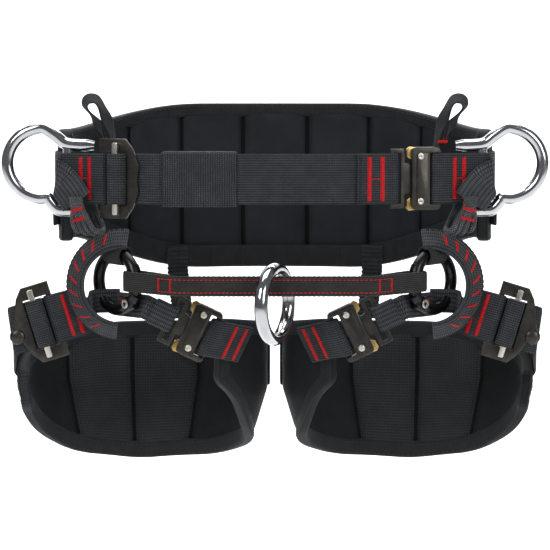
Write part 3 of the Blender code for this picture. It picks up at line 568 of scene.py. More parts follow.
def tack(run, body, s, low, high, look="red", reach=0.0042, pitch=0.0011, toward=(0, -1, 0), lean=0.0):
    """A bar tack: a dense zigzag from edge to edge of a strap."""
    face = facing(run, s, toward)
    count = max(2, int(abs(high - low) / pitch))
    lift = face * (run.thick / 2 + 0.0002)
    for k in range(count):
        v0, v1 = low + (high - low) * k / count, low + (high - low) * (k + 0.5) / count
        v2 = low + (high - low) * (k + 1) / count
        shift0, shift1, shift2 = (lean * v for v in (v0, v1, v2))
        a, up = run.at(s - reach / 2 + shift0, v0, lift)
        b, _ = run.at(s + reach / 2 + shift1, v1, lift)
        c, _ = run.at(s - reach / 2 + shift2, v2, lift)
        stitch(body, look, a, b, up * face)
        stitch(body, look, b, c, up * face)


def cross_tacks(run, body, middle, spread=0.012, half=TACK_HALF):
    """Two bar tacks across a strap, joined by a short one in the middle."""
    for s in (middle - spread / 2, middle + spread / 2):
        tack(run, body, s, -half, half)
    face = facing(run, middle, (0, -1, 0))
    lift = face * (run.thick / 2 + 0.0002)
    steps = 4
    for k in range(steps):
        s0 = middle - spread / 2 + spread * k / steps
        a, up = run.at(s0, -0.0004 if k % 2 else 0.0004, lift)
        b, _ = run.at(s0 + spread / steps, 0.0004 if k % 2 else -0.0004, lift)
        stitch(body, "red", a, b, up * face)


def dashes(run, body, v, start, stop, look, toward=(0, -1, 0), dash=0.0026, gap=0.0014, radius=0.00035):
    """A row of running stitches along a strap."""
    s = start
    while s < stop - dash / 2:
        face = facing(run, s, toward) if toward else 1
        for way in ((face,) if toward else (1, -1)):
            lift = way * (run.thick / 2 + 0.0001)
            a, up = run.at(s, v, lift)
            b, _ = run.at(min(s + dash, stop), v, lift)
            stitch(body, look, a, b, up * way, radius)
        s += dash + gap


def sew():
    """Turn the recorded stitches into one object for each body and colour of thread."""
    for number, ((body, look), items) in enumerate(THREADS.items()):
        points, faces = [], []
        sides = 6
        for p, q, up, radius in items:
            along = (q - p).normalized()
            side = along.cross(up).normalized()
            top = side.cross(along)
            first = len(points)
            for t, wide, lift in ((0, 0.55, -0.5), (0.25, 1, 0.1), (0.75, 1, 0.1), (1, 0.55, -0.5)):
                middle = p.lerp(q, t) + up * (radius * lift)
                for k in range(sides):
                    a = 2 * math.pi * k / sides
                    points.append(tuple(middle + (side * math.cos(a) + top * math.sin(a)) * (radius * wide)))
            for r in range(3):
                for k in range(sides):
                    a, b = first + r * sides + k, first + r * sides + (k + 1) % sides
                    faces.append((a, b, b + sides, a + sides))
            faces.append(tuple(first + k for k in range(sides)))
            faces.append(tuple(first + 3 * sides + k for k in range(sides)))
        mesh = bpy.data.meshes.new("thread")
        mesh.from_pydata(points, [], faces)
        mesh.uv_layers.new(name="UVMap")
        finish("stitching_%s_%02d" % (look, number), mesh, body, [look])


# ---------------------------------------------------------------- metal fittings

def refined(node, body, look, bevel=0.0006, segments=3):
    """The CAD piece with its flat faces joined up again and its edges rounded."""
    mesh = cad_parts[node].data.copy()
    mesh.name = node + "_shape"
    mesh.materials.clear()
    for layer in list(mesh.uv_layers):
        mesh.uv_layers.remove(layer)
    bm = bmesh.new()
    bm.from_mesh(mesh)
    bmesh.ops.remove_doubles(bm, verts=bm.verts, dist=1e-5)
    bmesh.ops.dissolve_limit(bm, angle_limit=math.radians(2), verts=bm.verts, edges=bm.edges)
    sharp = [e for e in bm.edges if len(e.link_faces) == 2 and e.calc_face_angle(0) > math.radians(32)]
    bmesh.ops.bevel(bm, geom=sharp, offset=bevel, segments=segments, profile=0.6, affect="EDGES",
                    clamp_overlap=True)
    bm.to_mesh(mesh)
    bm.free()
    for name in [a.name for a in mesh.attributes if a.name.startswith("custom_normal")]:
        mesh.attributes.remove(mesh.attributes[name])
    mesh.uv_layers.new(name="UVMap")
    return finish(node + "_shaped", mesh, body, [look], [node])


def turned(name, body, look, origin, axis, profile, sides=32, nodes=()):
    """A turned piece: a profile of (radius, height) pairs swept round an axis."""
    axis = Vector(axis).normalized()
    side = axis.orthogonal().normalized()
    other = axis.cross(side)
    loops = []
    for radius, height in profile:
        loops.append([origin + axis * height + (side * math.cos(a) + other * math.sin(a)) * radius
                      for a in (2 * math.pi * k / sides for k in range(sides))])
    us = np.cumsum([0] + [0.001] * (len(profile) - 1))
    return skin(name, loops, us, [0.001 * k for k in range(sides + 1)], body, [look], nodes)


def dome(radius, height, rim=0.0004, steps=6):
    """The profile of a low dome on a short rim."""
    points = [(radius, 0.0)]
    for k in range(steps):
        a = math.radians(90 * k / steps)
        points.append((radius * math.cos(a), rim + height * math.sin(a)))
    return points + [(radius * 0.06, rim + height)]


def plate(name, body, look, outline, low, high, place_at, bevel):
    """A flat plate with rounded edges, from an outline in a frame's x and y."""
    bm = bmesh.new()
    bottom = bm.faces.new([bm.verts.new((x, y, low)) for x, y in outline])
    grown = bmesh.ops.extrude_face_region(bm, geom=[bottom])
    tops = [v for v in grown["geom"] if isinstance(v, bmesh.types.BMVert)]
    bmesh.ops.translate(bm, verts=tops, vec=(0, 0, high - low))
    rim = [e for e in bm.edges if all(abs(v.co.z - high) < 1e-6 for v in e.verts)]
    bmesh.ops.bevel(bm, geom=rim, offset=bevel, segments=2, profile=0.6, affect="EDGES")
    bmesh.ops.transform(bm, matrix=place_at, verts=bm.verts)
    mesh = bpy.data.meshes.new(name)
    bm.to_mesh(mesh)
    bm.free()
    mesh.uv_layers.new(name="UVMap")
    return finish(name, mesh, body, [look])


def rounded(x0, x1, y0, y1, radius, steps=4):
    """The outline of a rectangle with rounded corners."""
    points = []
    corners = ((x1 - radius, y1 - radius, 0), (x0 + radius, y1 - radius, 90),
               (x0 + radius, y0 + radius, 180), (x1 - radius, y0 + radius, 270))
    for cx, cy, start in corners:
        for k in range(steps + 1):
            a = math.radians(start + 90 * k / steps)
            points.append((cx + radius * math.cos(a), cy + radius * math.sin(a)))
    return points


# ---------------------------------------------------------------- front of the belt

ADJUSTER = place(LEFT_BAR + LEFT_RUN * 0.050, LEFT_RUN, -Y)
BUCKLE = place(RIGHT_BEND + RIGHT_RUN * ((0.121 - 0.052) / RIGHT_RUN.x), RIGHT_RUN, -Y)
BAR_LOOP_RADIUS = 0.0045 + 2 * GAP + WEB_THICK / 2 + 0.0003


def hairpin(at, tail_length):
    """A strap's middle line from its tail, up through the window, over the bar and back down."""
    side, front = HAIRPIN_HALF, HAIRPIN_FRONT
    points = [(tail_length, -TAIL_DEPTH), (-side + 0.004, -TAIL_DEPTH), (-side, -TAIL_DEPTH + 0.003),
              (-side, front - 0.003), (-side + 0.0015, front - 0.0006), (-side + 0.004, front),
              (side - 0.004, front), (side - 0.0015, front - 0.0006), (side, front - 0.003),
              (side, 0.0), (side + 0.0004, -LOAD_DEPTH + 0.0009), (side + 0.0030, -LOAD_DEPTH)]
    return [at @ Vector((x, 0, n)) for x, n in points]


def fold_round_tongue(at, width, length):
    """The folded webbing end that holds a buckle's tongue."""
    radius = MALE_LOOP_RADIUS
    path = [Vector((MALE_BAR_AT - length, 0, radius)), Vector((MALE_BAR_AT - 0.002, 0, radius))]
    path += arc(Vector((MALE_BAR_AT, 0, 0)), Z, X, radius, 0, 180, 12)
    path += [Vector((MALE_BAR_AT - 0.002, 0, -radius)), Vector((MALE_BAR_AT - length, 0, -radius))]
    return Run([at @ p for p in path], at.to_3x3() @ Y, width, WEB_THICK, upright=True)


def make_belt_tab(name, bar, end, end_radius, shift, narrow):
    """A webbing loop from a D-ring's bar to a fitting, sewn down between them."""
    run = strap_loop(bar, BAR_LOOP_RADIUS, end, end_radius, Z, WEB_WIDTH, narrow)
    strap("belt_tab_%s_webbing" % name, ["belt_tab_" + name], "saddle", run)
    middle = (bar + end) / 2 + Vector((shift, -0.004, 0))
    cross_tacks(run, "saddle", run.near(middle), 0.009, 0.0185)


def make_front_strap():
    """The strap threaded through the adjuster, its tail lying behind it, as far as the tongue's fold."""
    tail_y = LEFT_BEND.y + TAIL_DEPTH - LOAD_DEPTH
    path = [Vector((-0.044, tail_y, 0)), Vector((-0.106, tail_y, 0))]
    path += hairpin(ADJUSTER, 0.024)
    path += [spot(ADJUSTER, 0.024, -LOAD_DEPTH), LEFT_BEND + X * 0.004, RIGHT_BEND,
             spot(BUCKLE, MALE_BAR_AT - 0.016)]
    run = Run(path, Z, WEB_WIDTH, WEB_THICK, upright=True, rounds=2)
    strap("front_strap_webbing", ["front_strap"], "saddle", run)


def make_tongue_strap():
    """The folded end of the front strap, with its tacks."""
    body, length, seam = "waist_tongue", 0.033, 0.020
    run = fold_round_tongue(BUCKLE, WEB_WIDTH, length)
    strap("tongue_fold_webbing", ["waist_tongue_strap"], body, run)
    cross_tacks(run, body, length / 2)
    for v in (seam, -seam):
        dashes(run, body, v, 0.002, length - 0.001, "black")
    tack(run, body, 0.002, -0.021, 0.021, "black", 0.0016, 0.0016)


def make_keeper():
    """The webbing sleeve that slides on the front strap and its tail."""
    half_y, half_z = 0.0046, 0.0238
    middle = Vector((-0.067, -0.1016, 0))
    outline = [middle + Y * y + Z * z for y, z in rounded(-half_y, half_y, -half_z, half_z, 0.0025, 3)]
    run = Run(outline, X, 0.066, 0.0020, True, True, step=0.0015, rounds=2)
    strap("keeper_webbing", ["waist_keeper"], "waist_keeper", run, edge=lambda s: 0.008 * math.sin(s * 260))


def make_belt_front():
    make_belt_tab("left", LEFT_BAR, spot(ADJUSTER, TAB_BAR_AT), TAB_BAR_RADIUS, -0.001, 0.006)
    make_belt_tab("right", RIGHT_BAR, spot(BUCKLE, END_BAR_AT), END_BAR_RADIUS, 0.001, 0.010)
    make_front_strap()
    make_tongue_strap()
    make_keeper()


def make_rivet_head(name, body, at, side, cad_node):
    """The nickel head over a latch's pivot, with a low foot where it is the whole rivet."""
    centre = spot(at, LATCH_PIVOT_X + (0.0 if cad_node else 0.002)) + at.to_3x3() @ Y * side
    head = BUCKLE_THICK / 2 + (GAP if cad_node else 0.0007)
    profile = [(0.0030, head - 0.0004), (0.0031, head), (0.0028, head + 0.0006), (0.0018, head + 0.0010),
               (0.0010, head + 0.0009), (0.0007, head + 0.0005)]
    if cad_node:
        shank = 0.0019
        foot = [(0.0007, -head - 0.0008), (0.0026, -head - 0.0007), (0.0031, -head), (shank, -head)]
        profile = foot + [(shank, head - 0.0004)] + profile
    turned(name, body, "nickel", centre, at.to_3x3() @ Z, profile, nodes=[cad_node] if cad_node else ())


def make_buckle(prefix, at, strap_width, body, latches, tongue, rivets_in_cad):
    """A quick-release buckle: body, tongue, two side latches and a raised, chamfered face."""
    half = strap_width / 2 + BUCKLE_SIDE
    refined(prefix + "_body", body, "gunmetal", 0.0011)
    refined(prefix + "_tongue", tongue, "gunmetal", 0.0005)
    for which, latch in zip(("upper", "lower"), latches):
        refined(prefix + "_latch_" + which, latch, "brass", 0.0004)
    face = BUCKLE_THICK / 2
    grip = half - 0.0052
    plate(prefix + "_face", body, "gunmetal", rounded(0.0040, 0.0148, -grip, grip, 0.002), face - 0.0002,
          face + 0.0009, at, 0.0007)
    rise = 1 if (at.to_3x3() @ Y).z > 0 else -1
    for which, side in (("upper", rise), ("lower", -rise)):
        node = prefix + "_rivet_" + which if rivets_in_cad else None
        make_rivet_head(prefix + "_rivet_head_" + which, body, at, side * (half - 0.008), node)


# ---------------------------------------------------------------- side D-rings and lashings

def make_d_ring(name, sign):
    """A polished D of round bar, flattened where its ends meet the upright crossbar."""
    bar = RIGHT_BAR if sign > 0 else LEFT_BAR
    out = X * sign
    high = D_RING_HALF
    upper = [(-0.024, high - 0.0004), (-0.017, high - 0.0001), (-0.010, high), (0.002, high + 0.0016),
             (0.011, high + 0.0085)]
    lower = [(0.0165, -high + 0.0080), (0.0098, -high + 0.0010), (0.0, -high), (-0.012, -high - 0.0006)]
    centre = bar + out * 0.023 + Z * 0.013
    points = [bar + out * u + Z * w for u, w in upper] + arc(centre, out, Z, D_RING_RADIUS, 92, -98, 12)
    points += [bar + out * u + Z * w for u, w in lower]

    def shape(t):
        flat = max(0.0, 1 - t / 0.05, (t - 0.965) / 0.035)
        return 1.0 - 0.10 * flat, 1.0 - 0.25 * flat
    body = "d_ring_" + name
    tube("d_ring_polished_" + name, [body], body, smooth_path(points, 5), D_RING_BAR, Y, "polished",
         sides=32, shape=shape)
    tube("d_ring_crossbar_" + name, [], body, [bar - Z * 0.027, bar, bar + Z * 0.029], 0.0045, Y, "polished")


def bar_frame(sign):
    if sign < 0:
        return LEFT_BAR, -LEFT_RUN, Vector((-LEFT_RUN.y, LEFT_RUN.x, 0))
    return RIGHT_BAR, RIGHT_RUN, Vector((-RIGHT_RUN.y, RIGHT_RUN.x, 0))


def make_sling(name, sign):
    """The sling thrown round the D-ring's bar."""
    bar, out, back = bar_frame(sign)
    points = [(-0.014, -0.0107, -0.021), (-0.008, -0.0109, -0.012), (0.0, -0.0110, -0.003),
              (0.0078, -0.0077, 0.001), (0.0110, 0.0, 0.002), (0.0088, 0.0089, 0.001),
              (0.0, 0.0132, -0.003), (-0.008, 0.0127, -0.012), (-0.014, 0.0120, -0.021)]
    upright = (0.15, 0.4, 0.75, 1, 1, 1, 0.75, 0.4, 0.15)
    path = [bar + out * u + back * y + Z * z for u, y, z in points]
    across = [Z * share - out * (1 - share) for share in upright]
    run = Run(path, across, 0.032, WEB_THICK, step=0.0015, rounds=4)
    strap("sling_webbing_" + name, ["d_sling_" + name], "saddle", run, "ribbed")


def make_lashing(name, sign):
    """The braided cords that hang from the sling to the sleeve, and the red stitches that bind them."""
    bar, out, back = bar_frame(sign)
    for number, share in enumerate((-1.0, -0.36, 0.3, 1.0)):
        foot = 0.0075 * share
        top = 0.0042 * share
        points = [(-0.0135 + top, -0.0118, -0.0165), (-0.0160 + top, -0.0124, -0.0262),
                  (-0.018 + foot, -0.0116, -0.036), (-0.021 + 1.2 * foot, -0.0088, -0.0455),
                  (-0.023 + 1.3 * foot, 0.000, -0.0505 + 0.003 * abs(share)),
                  (-0.021 + 1.2 * foot, 0.0095, -0.0455), (-0.018 + foot, 0.0112, -0.036),
                  (-0.0160 + top, 0.0124, -0.0262), (-0.0135 + top, 0.0124, -0.0165)]
        path = smooth_path([bar + out * u + back * y + Z * z for u, y, z in points])
        nodes = ["link_cord_" + name] if number == 0 else []
        tube("lashing_cord_%s_%d" % (name, number), nodes, "saddle", path, 0.00245, out, "cord", sides=14)
    side, rise = out * 0.0055 - Z * 0.0015, Z * 0.0016
    for k in range(2):
        middle = bar + out * (-0.0165 - 0.002 * k) + back * -0.0148 + Z * (-0.0275 - 0.0085 * k)
        for j in range(9):
            a, b = middle + side * (j / 4 - 1) - rise, middle + side * ((j + 0.5) / 4 - 1) + rise
            stitch("saddle", "red", a, b, -back, 0.0006)


def make_top_loop(name, sign):
    """The small parking loop that stands on the belt's top edge."""
    base = Vector((sign * 0.149, -0.064, 0.0275))
    points = [(0.001, 0.0), (0.006, 0.012), (0.014, 0.026), (0.0215, 0.036), (0.0195, 0.043),
              (0.011, 0.042), (0.0045, 0.030), (-0.001, 0.014), (-0.003, 0.0)]
    path = smooth_path([base + X * (sign * u) + Z * w for u, w in points], 6, closed=True)
    middle = sum(path, Vector()) / len(path)
    across = [(Y * 0.80 + (p - middle).normalized() * 0.60).normalized() for p in path]
    run = Run(path, across, 0.0150, 0.0021, True, step=0.0012)
    strap("park_loop_webbing_" + name, ["top_loop_" + name], "saddle", run, "tape")
    at = run.near(base + X * (sign * 0.004) + Z * 0.008)
    tack(run, "saddle", at, -0.0062, 0.0062, reach=0.0022, toward=(sign * 0.5, -1, -0.4))
    foot = base + Vector((sign * 0.0015, 0.0, 0))
    for k in range(12):
        a = foot + X * (sign * (-0.004 + 0.0007 * k)) + Y * -0.0083 + Z * 0.0035
        stitch("saddle", "red", a, a + X * (sign * 0.0004) + Z * 0.0028, -Y, 0.0005)


# ---------------------------------------------------------------- rings, sleeves and bridge

def ring_plane(sign):
    return Vector((-sign, -1, 0)).normalized()


def ring_centre(sign):
    return Vector((sign * RING_X, RING_Y, RING_Z))


def behind_ring(sign):
    """The level direction square to the ring's plane, towards the wearer's back."""
    back = ring_plane(sign).cross(Z)
    return back if back.y > 0 else -back


def ray_at(sign, degrees):
    """The direction from the ring's centre, and the direction along the ring's bar, at an angle."""
    out, turn = ring_plane(sign), math.radians(degrees)
    return out * math.cos(turn) + Z * math.sin(turn), Z * math.cos(turn) - out * math.sin(turn)


def make_openable_ring(name, sign):
    """A black ring with a collar at each end of its opening part, a hinge boss and a screw."""
    centre, out = ring_centre(sign), ring_plane(sign)
    path = arc(centre, out, Z, RING_RADIUS, 0, 360, 72)[:-1]
    tube("opening_ring_" + name, ["openable_ring_" + name], "saddle", path, RING_TUBE, out.cross(Z),
         "anodised", True)
    boss = [(0.0052, -0.0060), (0.0066, -0.0052), (0.0070, 0.0), (0.0066, 0.0052), (0.0060, 0.0061),
            (0.0048, 0.0062)]
    collar = [(0.0050, -0.004), (0.0060, -0.0035), (0.0062, 0.0), (0.0060, 0.0035), (0.0050, 0.004)]
    for number, (angle, shift) in enumerate(((-45, 0.0085), (28, 0.0))):
        ray, along = ray_at(sign, angle)
        if number == 0:
            turned("ring_boss_" + name, "saddle", "anodised", centre + ray * (RING_RADIUS + 0.0004),
                   -behind_ring(sign), boss)
        turned("ring_collar_%s_%d" % (name, number), "saddle", "anodised",
               centre + ray * RING_RADIUS + along * shift, along, collar)
    refined("ring_screw_" + name, "ring_screw_" + name, "nickel", 0.00035)


SLEEVE_LEAN = 0.45
CUFF_ANGLE = 88
CUFF_RADIUS = 0.0080


def make_cuff(name, sign):
    """The sleeve's end, folded round the top of the openable ring."""
    ray, along = ray_at(sign, CUFF_ANGLE)
    middle = ring_centre(sign) + ray * (RING_RADIUS - 0.0010)
    path = arc(middle, ray, ray.cross(along), CUFF_RADIUS, 0, 360, 28)[:-1]
    run = Run(path, along, 0.0225, WEB_THICK, True, step=0.0012)
    strap("sleeve_cuff_" + name, [], "saddle", run, "picot")


def make_sleeve(name, sign):
    """The curved webbing sleeve from the lashing to the leg, with slanting red tacks."""
    centre = Vector((sign * 0.1395, -0.060, -0.098))
    path = arc(centre, X * sign, Z, 0.042, 98, -84, 40)
    across = [(-Y * 0.75 - (p - centre).normalized() * 0.66).normalized() for p in path]
    run = Run(path, across, 0.024, 0.0050, rounds=2)
    strap("sleeve_webbing_" + name, ["sleeve_" + name], "saddle", run, "ribbed")
    outward = (sign * 0.6, -1, 0.5)
    for k in range(9):
        s = run.length * (0.155 + 0.087 * k)
        toward = outward if k < 6 else (sign * 0.9, -0.8, -0.5)
        tack(run, "saddle", s, -0.0052, 0.0056, reach=0.0030 - 0.00016 * k, pitch=0.0012, toward=toward,
             lean=SLEEVE_LEAN)
    for v in (-0.0102, 0.0102):
        dashes(run, "saddle", v, 0.004, run.length - 0.004, "black", outward)


def bridge_arm(sign, forward=0.0):
    """The middle of the ring's outer arm at the bridge's height, or this far in front of it."""
    arm = ring_centre(sign) + ring_plane(sign) * RING_RADIUS
    return Vector((arm.x, arm.y - forward, BRIDGE_Z))


def bridge_end(sign):
    """Half of the bridge's middle line: its flat, the loop round the ring, and the end sewn back."""
    bulge = RING_RADIUS - math.sqrt(RING_RADIUS ** 2 - (BRIDGE_WIDTH / 2 + 0.002) ** 2)
    radius = RING_TUBE + 2 * GAP + bulge / 2 + BRIDGE_THICK / 2
    arm = bridge_arm(sign) - ring_plane(sign) * (bulge / 2)
    front = Vector((sign * BRIDGE_FLAT, bridge_arm(sign, BRIDGE_BOW).y, BRIDGE_Z))
    run = (arm - front).normalized()
    behind = Vector((-sign * run.y, sign * run.x, 0))
    back = front + run * 0.016 + behind * (BRIDGE_THICK + 0.0012)
    return [front] + arc(arm, run, -behind, radius, 100, -100, 14) + [back]


def make_bridge():
    """The bridge webbing with a picot edge, two red seams down it and tacks where its ends lie double."""
    run = Run(bridge_end(-1)[::-1] + bridge_end(1), Z, BRIDGE_WIDTH, BRIDGE_THICK, upright=True, rounds=4)
    strap("bridge_strap", ["bridge_webbing"], "bridge", run, "picot",
          lambda s: 0.030 * math.sin(s * 2 * math.pi / 0.0036))
    double, seam = 0.016, 0.0056
    low, high = (run.near(Vector((sign * (BRIDGE_FLAT + double),
                                  bridge_arm(sign, BRIDGE_BOW - double).y, BRIDGE_Z)))
                 for sign in (-1, 1))
    for v in (-seam, seam):
        for toward in ((0, -1, 0), (0, 1, 0)):
            dashes(run, "bridge", v, low, high, "red", toward, gap=0.0012, radius=0.0004)
    for s in (low, low + 0.015, high - 0.015, high):
        tack(run, "bridge", s, -seam, seam, reach=0.0022, pitch=0.0010)


def make_bridge_ring():
    """The polished ring that hangs on the bridge, turned nearly edge on."""
    top = BRIDGE_Z + BRIDGE_WIDTH / 2 + GAP
    centre = Vector((0, bridge_arm(1, BRIDGE_BOW).y, top + BRIDGE_RING_TUBE - BRIDGE_RING_RADIUS))
    turn = math.radians(67)
    out = Vector((math.cos(turn), math.sin(turn), 0))
    path = arc(centre, out, Z, BRIDGE_RING_RADIUS, 0, 360, 96)[:-1]
    tube("bridge_ring_polished", ["bridge_ring"], "bridge_ring", path, BRIDGE_RING_TUBE, out.cross(Z),
         "polished", True, 32)


# ---------------------------------------------------------------- pads

def waist_point(degrees, out, z):
    a = math.radians(degrees)
    return Vector(((WAIST_X + out) * math.sin(a), (WAIST_Y + out) * math.cos(a), z))


def soft_taper(degrees):
    """How far the back pad has narrowed: 0 near its middle, 1 near its ends."""
    t = min(max((abs(degrees) - 22) / (78 - 22), 0), 1)
    return t * t * (3 - 2 * t)


def pad_top(degrees):
    return 0.065 + (0.042 - 0.065) * soft_taper(degrees)


def pad_bottom(degrees):
    return -0.096 + (-0.060 + 0.096) * soft_taper(degrees)


def outward(point, degrees):
    return point(degrees, 0.01, 0) - point(degrees, 0, 0)


def thigh_point(sign):
    """The leg pad's plan: an oval round the thigh that narrows towards its lower edge."""
    def point(degrees, out, z):
        a = math.radians(degrees)
        share = 1 - THIGH_NARROW * max(0, THIGH_NARROW_FROM - z)
        return Vector((sign * (THIGH_X + (THIGH_HALF_X * share + out) * math.sin(a)),
                       THIGH_Y + (THIGH_HALF_Y * share + out) * math.cos(a), z))
    return point


def curve_at(table, angle):
    """The height at an angle, straight between a table's entries."""
    for (a, low), (b, high) in zip(table, table[1:]):
        if angle <= b:
            t = min(max((angle - a) / (b - a), 0), 1)
            return low + (high - low) * t
    return table[-1][1]


def eased(table):
    """The table's heights with their corners rounded off."""
    def height(angle):
        window = (-9, -6, -3, 0, 3, 6, 9)
        return sum(curve_at(table, angle + w) for w in window) / len(window)
    return height


def corner_cut(from_end, radius):
    """How far a rounded corner comes in from the edge, this far from the pad's end."""
    if from_end >= radius:
        return 0.0
    return radius - math.sqrt(max(radius ** 2 - (radius - from_end) ** 2, 0))


# A pad's plan, its two ends in degrees, its lower and upper edges by degrees, and its thickness
Pad = namedtuple("Pad", "point start stop low high thick")
PAD_HEM_SHARE, PAD_HEM_ROLL = 0.42, 0.007
PAD_CROWN_SHARE, PAD_CROWN_REACH = 0.84, 0.016
CHANNEL_SINK = 0.30
CHANNEL_HALF = 0.0013


def creases(s, z):
    """How far soft creases in the cloth lift it."""
    broad = noise.noise(Vector((s * 24, z * 24, 3.1))) * 0.0005
    return broad + noise.noise(Vector((s * 75, z * 60, 9.7))) * 0.00022


def padding(s, from_rim, seams, thick, groove):
    """Half the pad's thickness at a place, and how far a sewn channel sinks there."""
    hem = PAD_HEM_SHARE + (1 - PAD_HEM_SHARE) * (1 - math.exp(-(from_rim / PAD_HEM_ROLL) ** 2))
    nearest = min(abs(s - seam) for seam in seams)
    crown = PAD_CROWN_SHARE + (1 - PAD_CROWN_SHARE) * min(1, nearest / PAD_CROWN_REACH)
    dip = sum(math.exp(-((s - seam) / groove) ** 2) for seam in seams)
    return thick / 2 * hem * crown, thick * CHANNEL_SINK * min(dip, 1.0)


def make_pad(name, nodes, body, pad, channels, looks, inner_look, columns, rows, groove, round_end):
    """A quilted pad: thin at its edges, crowned between sewn channels and lightly creased."""
    point, start, stop, low, high, thick = pad
    angles = [start + (stop - start) * k / columns for k in range(columns + 1)]
    middle_line = [point(a, thick / 2, 0) for a in angles]
    lengths = [0.0]
    for a, b in zip(middle_line, middle_line[1:]):
        lengths.append(lengths[-1] + (b - a).length)
    seams = [lengths[min(range(columns + 1), key=lambda i: abs(angles[i] - c))] for c in channels]
    shares = [0.5 - 0.5 * math.cos(math.pi * k / rows) for k in range(rows + 1)]
    loops = []
    for a, s in zip(angles, lengths):
        from_end = min(s, lengths[-1] - s)
        inset = corner_cut(from_end, round_end)
        bottom, top = low(a) + inset, high(a) - inset
        inner, outer = [], []
        for share in shares:
            z = bottom + (top - bottom) * share
            half, sink = padding(s, min(z - bottom, top - z, from_end), seams, thick, groove)
            fold = creases(s, z)
            inner.append(point(a, thick / 2 - half + sink + fold, z))
            outer.append(point(a, thick / 2 + half - sink * 0.8 + fold * 0.8, z))
        loops.append([tuple(p) for p in inner + outer[::-1]])
    span = high((start + stop) / 2) - low((start + stop) / 2)
    vs = [share * span for share in shares + shares[::-1]]

    def look(r, c):
        middle = (lengths[r] + lengths[min(r + 1, columns)]) / 2
        share = shares[min(c, 2 * rows + 1 - c)]
        if min(share, 1 - share) > 0.03 and any(abs(middle - seam) < CHANNEL_HALF for seam in seams):
            return len(looks)
        return inner_look(angles[r]) if c < rows else 0
    piece = skin(name, loops, lengths, vs + vs[:1], body, looks + ["channel"], nodes, faces_look=look)


def make_binding(name, body, pad, width, inset):
    """Tape folded over a pad's edge, with a row of stitches along each side of it."""
    point, start, stop, low, high, thick = pad
    angles = [start + (stop - start) * k / 110 for k in range(111)]
    degree = (point(0.5, thick / 2, 0) - point(-0.5, thick / 2, 0)).length
    step = inset / degree
    top = [(a, high(a) - inset) for a in angles]
    bottom = [(a, low(a) + inset) for a in angles[::-1]]
    top[0], top[-1] = (start + step, top[0][1]), (stop - step, top[-1][1])
    bottom[0], bottom[-1] = (stop - step, bottom[0][1]), (start + step, bottom[-1][1])
    outline = top + bottom
    path = [point(a, thick / 2, z) for a, z in outline]
    faces = [(point(a, thick / 2 + 0.01, z) - p).normalized() for (a, z), p in zip(outline, path)]
    count = len(path)
    across = [(path[(i + 1) % count] - path[i - 1]).normalized().cross(faces[i]).normalized()
              for i in range(count)]
    run = Run(path, across, width, thick * 0.96, True, step=0.0025, rounds=6)
    strap(name, [], body, run, "tape")
    for v in (-1, 1):
        dashes(run, body, v * (width / 2 - 0.0030), 0.0, run.length, "black", None, 0.0030, 0.0020, 0.0003)


LEG_TOP = ((-140, -0.129), (-95, -0.138), (-45, -0.146), (20, -0.148), (60, -0.160), (102.5, -0.186))
LEG_BOTTOM = ((-140, -0.182), (-110, -0.236), (-80, -0.256), (-45, -0.272), (5, -0.279),
              (45, -0.270), (75, -0.246), (102.5, -0.212))
LEG_CHANNELS = (-79, -27, 8, 43)
LEG_STRAP_HEIGHT = ((-90, -0.176), (-45, -0.188), (5, -0.194), (50, -0.188), (80, -0.172), (102.5, -0.158))


BACK_PAD = Pad(waist_point, -PAD_REACH, PAD_REACH, pad_bottom, pad_top, PAD_THICK)
LOOPS_REACH, LOOPS_COUNT, LOOPS_RISE = 78, 16, 0.0115


def make_back_pad():
    """The back pad with its binding, the gear loops inside it, the belt round it and two end tabs."""
    step = 2 * PAD_REACH / PAD_PANELS
    channels = [-PAD_REACH + step * k for k in range(1, PAD_PANELS)]
    make_pad("back_pad_quilted", ["back_pad"], "saddle", BACK_PAD, channels, ["cloth", "shell"],
             lambda a: 0, columns=330, rows=40, groove=0.0030, round_end=0.016)
    make_binding("back_pad_binding", "saddle", BACK_PAD, 0.013, 0.0060)
    make_gear_loops()
    make_belt_webbing()
    side_tab("left", -1)
    side_tab("right", 1)


def make_gear_loops():
    """A band inside the pad's lower edge, tacked down so that it stands off in low loops."""
    inside, pitch = -GAP - WEB_THICK / 2, 2 * LOOPS_REACH / LOOPS_COUNT

    def spot_at(degrees, out):
        return waist_point(degrees, out, pad_bottom(degrees) + LOOPS_RISE)

    def lifted(degrees):
        return spot_at(degrees, inside - 0.0016 * abs(math.sin(math.pi * (degrees + LOOPS_REACH) / pitch)))
    fine = [-LOOPS_REACH + pitch * k / 10 for k in range(10 * LOOPS_COUNT + 1)]
    run = Run([lifted(a) for a in fine], Z, 0.020, 0.0016, upright=True, rounds=1)
    strap("gear_loops_webbing", ["gear_loop_band"], "saddle", run, "tape")
    for k in range(LOOPS_COUNT + 1):
        degrees = -LOOPS_REACH + pitch * k
        tack(run, "saddle", run.near(spot_at(degrees, inside)), -0.0085, 0.0085, "black", 0.0016, 0.0013,
             toward=-outward(waist_point, degrees))


def make_belt_webbing():
    """The belt's webbing round the outside of the pad, sewn along both edges and tacked."""
    out = PAD_THICK + GAP + WEB_THICK / 2
    end = Vector((0.183, -0.057, 0))
    path = [waist_point(-PAD_REACH + 2 * PAD_REACH * k / 120, out, 0) for k in range(121)]
    path = [Vector((-end.x, end.y, 0))] + path + [end]
    run = Run(path, Z, WEB_WIDTH, WEB_THICK, upright=True)
    strap("belt_webbing", ["waist_belt"], "saddle", run)
    for v in (-TACK_HALF, TACK_HALF):
        dashes(run, "saddle", v, 0.03, run.length - 0.03, "black", None)
    for degrees in (-88, -56, -19, 19, 56, 88):
        tack(run, "saddle", run.near(waist_point(degrees, out, 0)), -TACK_HALF, TACK_HALF,
             toward=outward(waist_point, degrees))


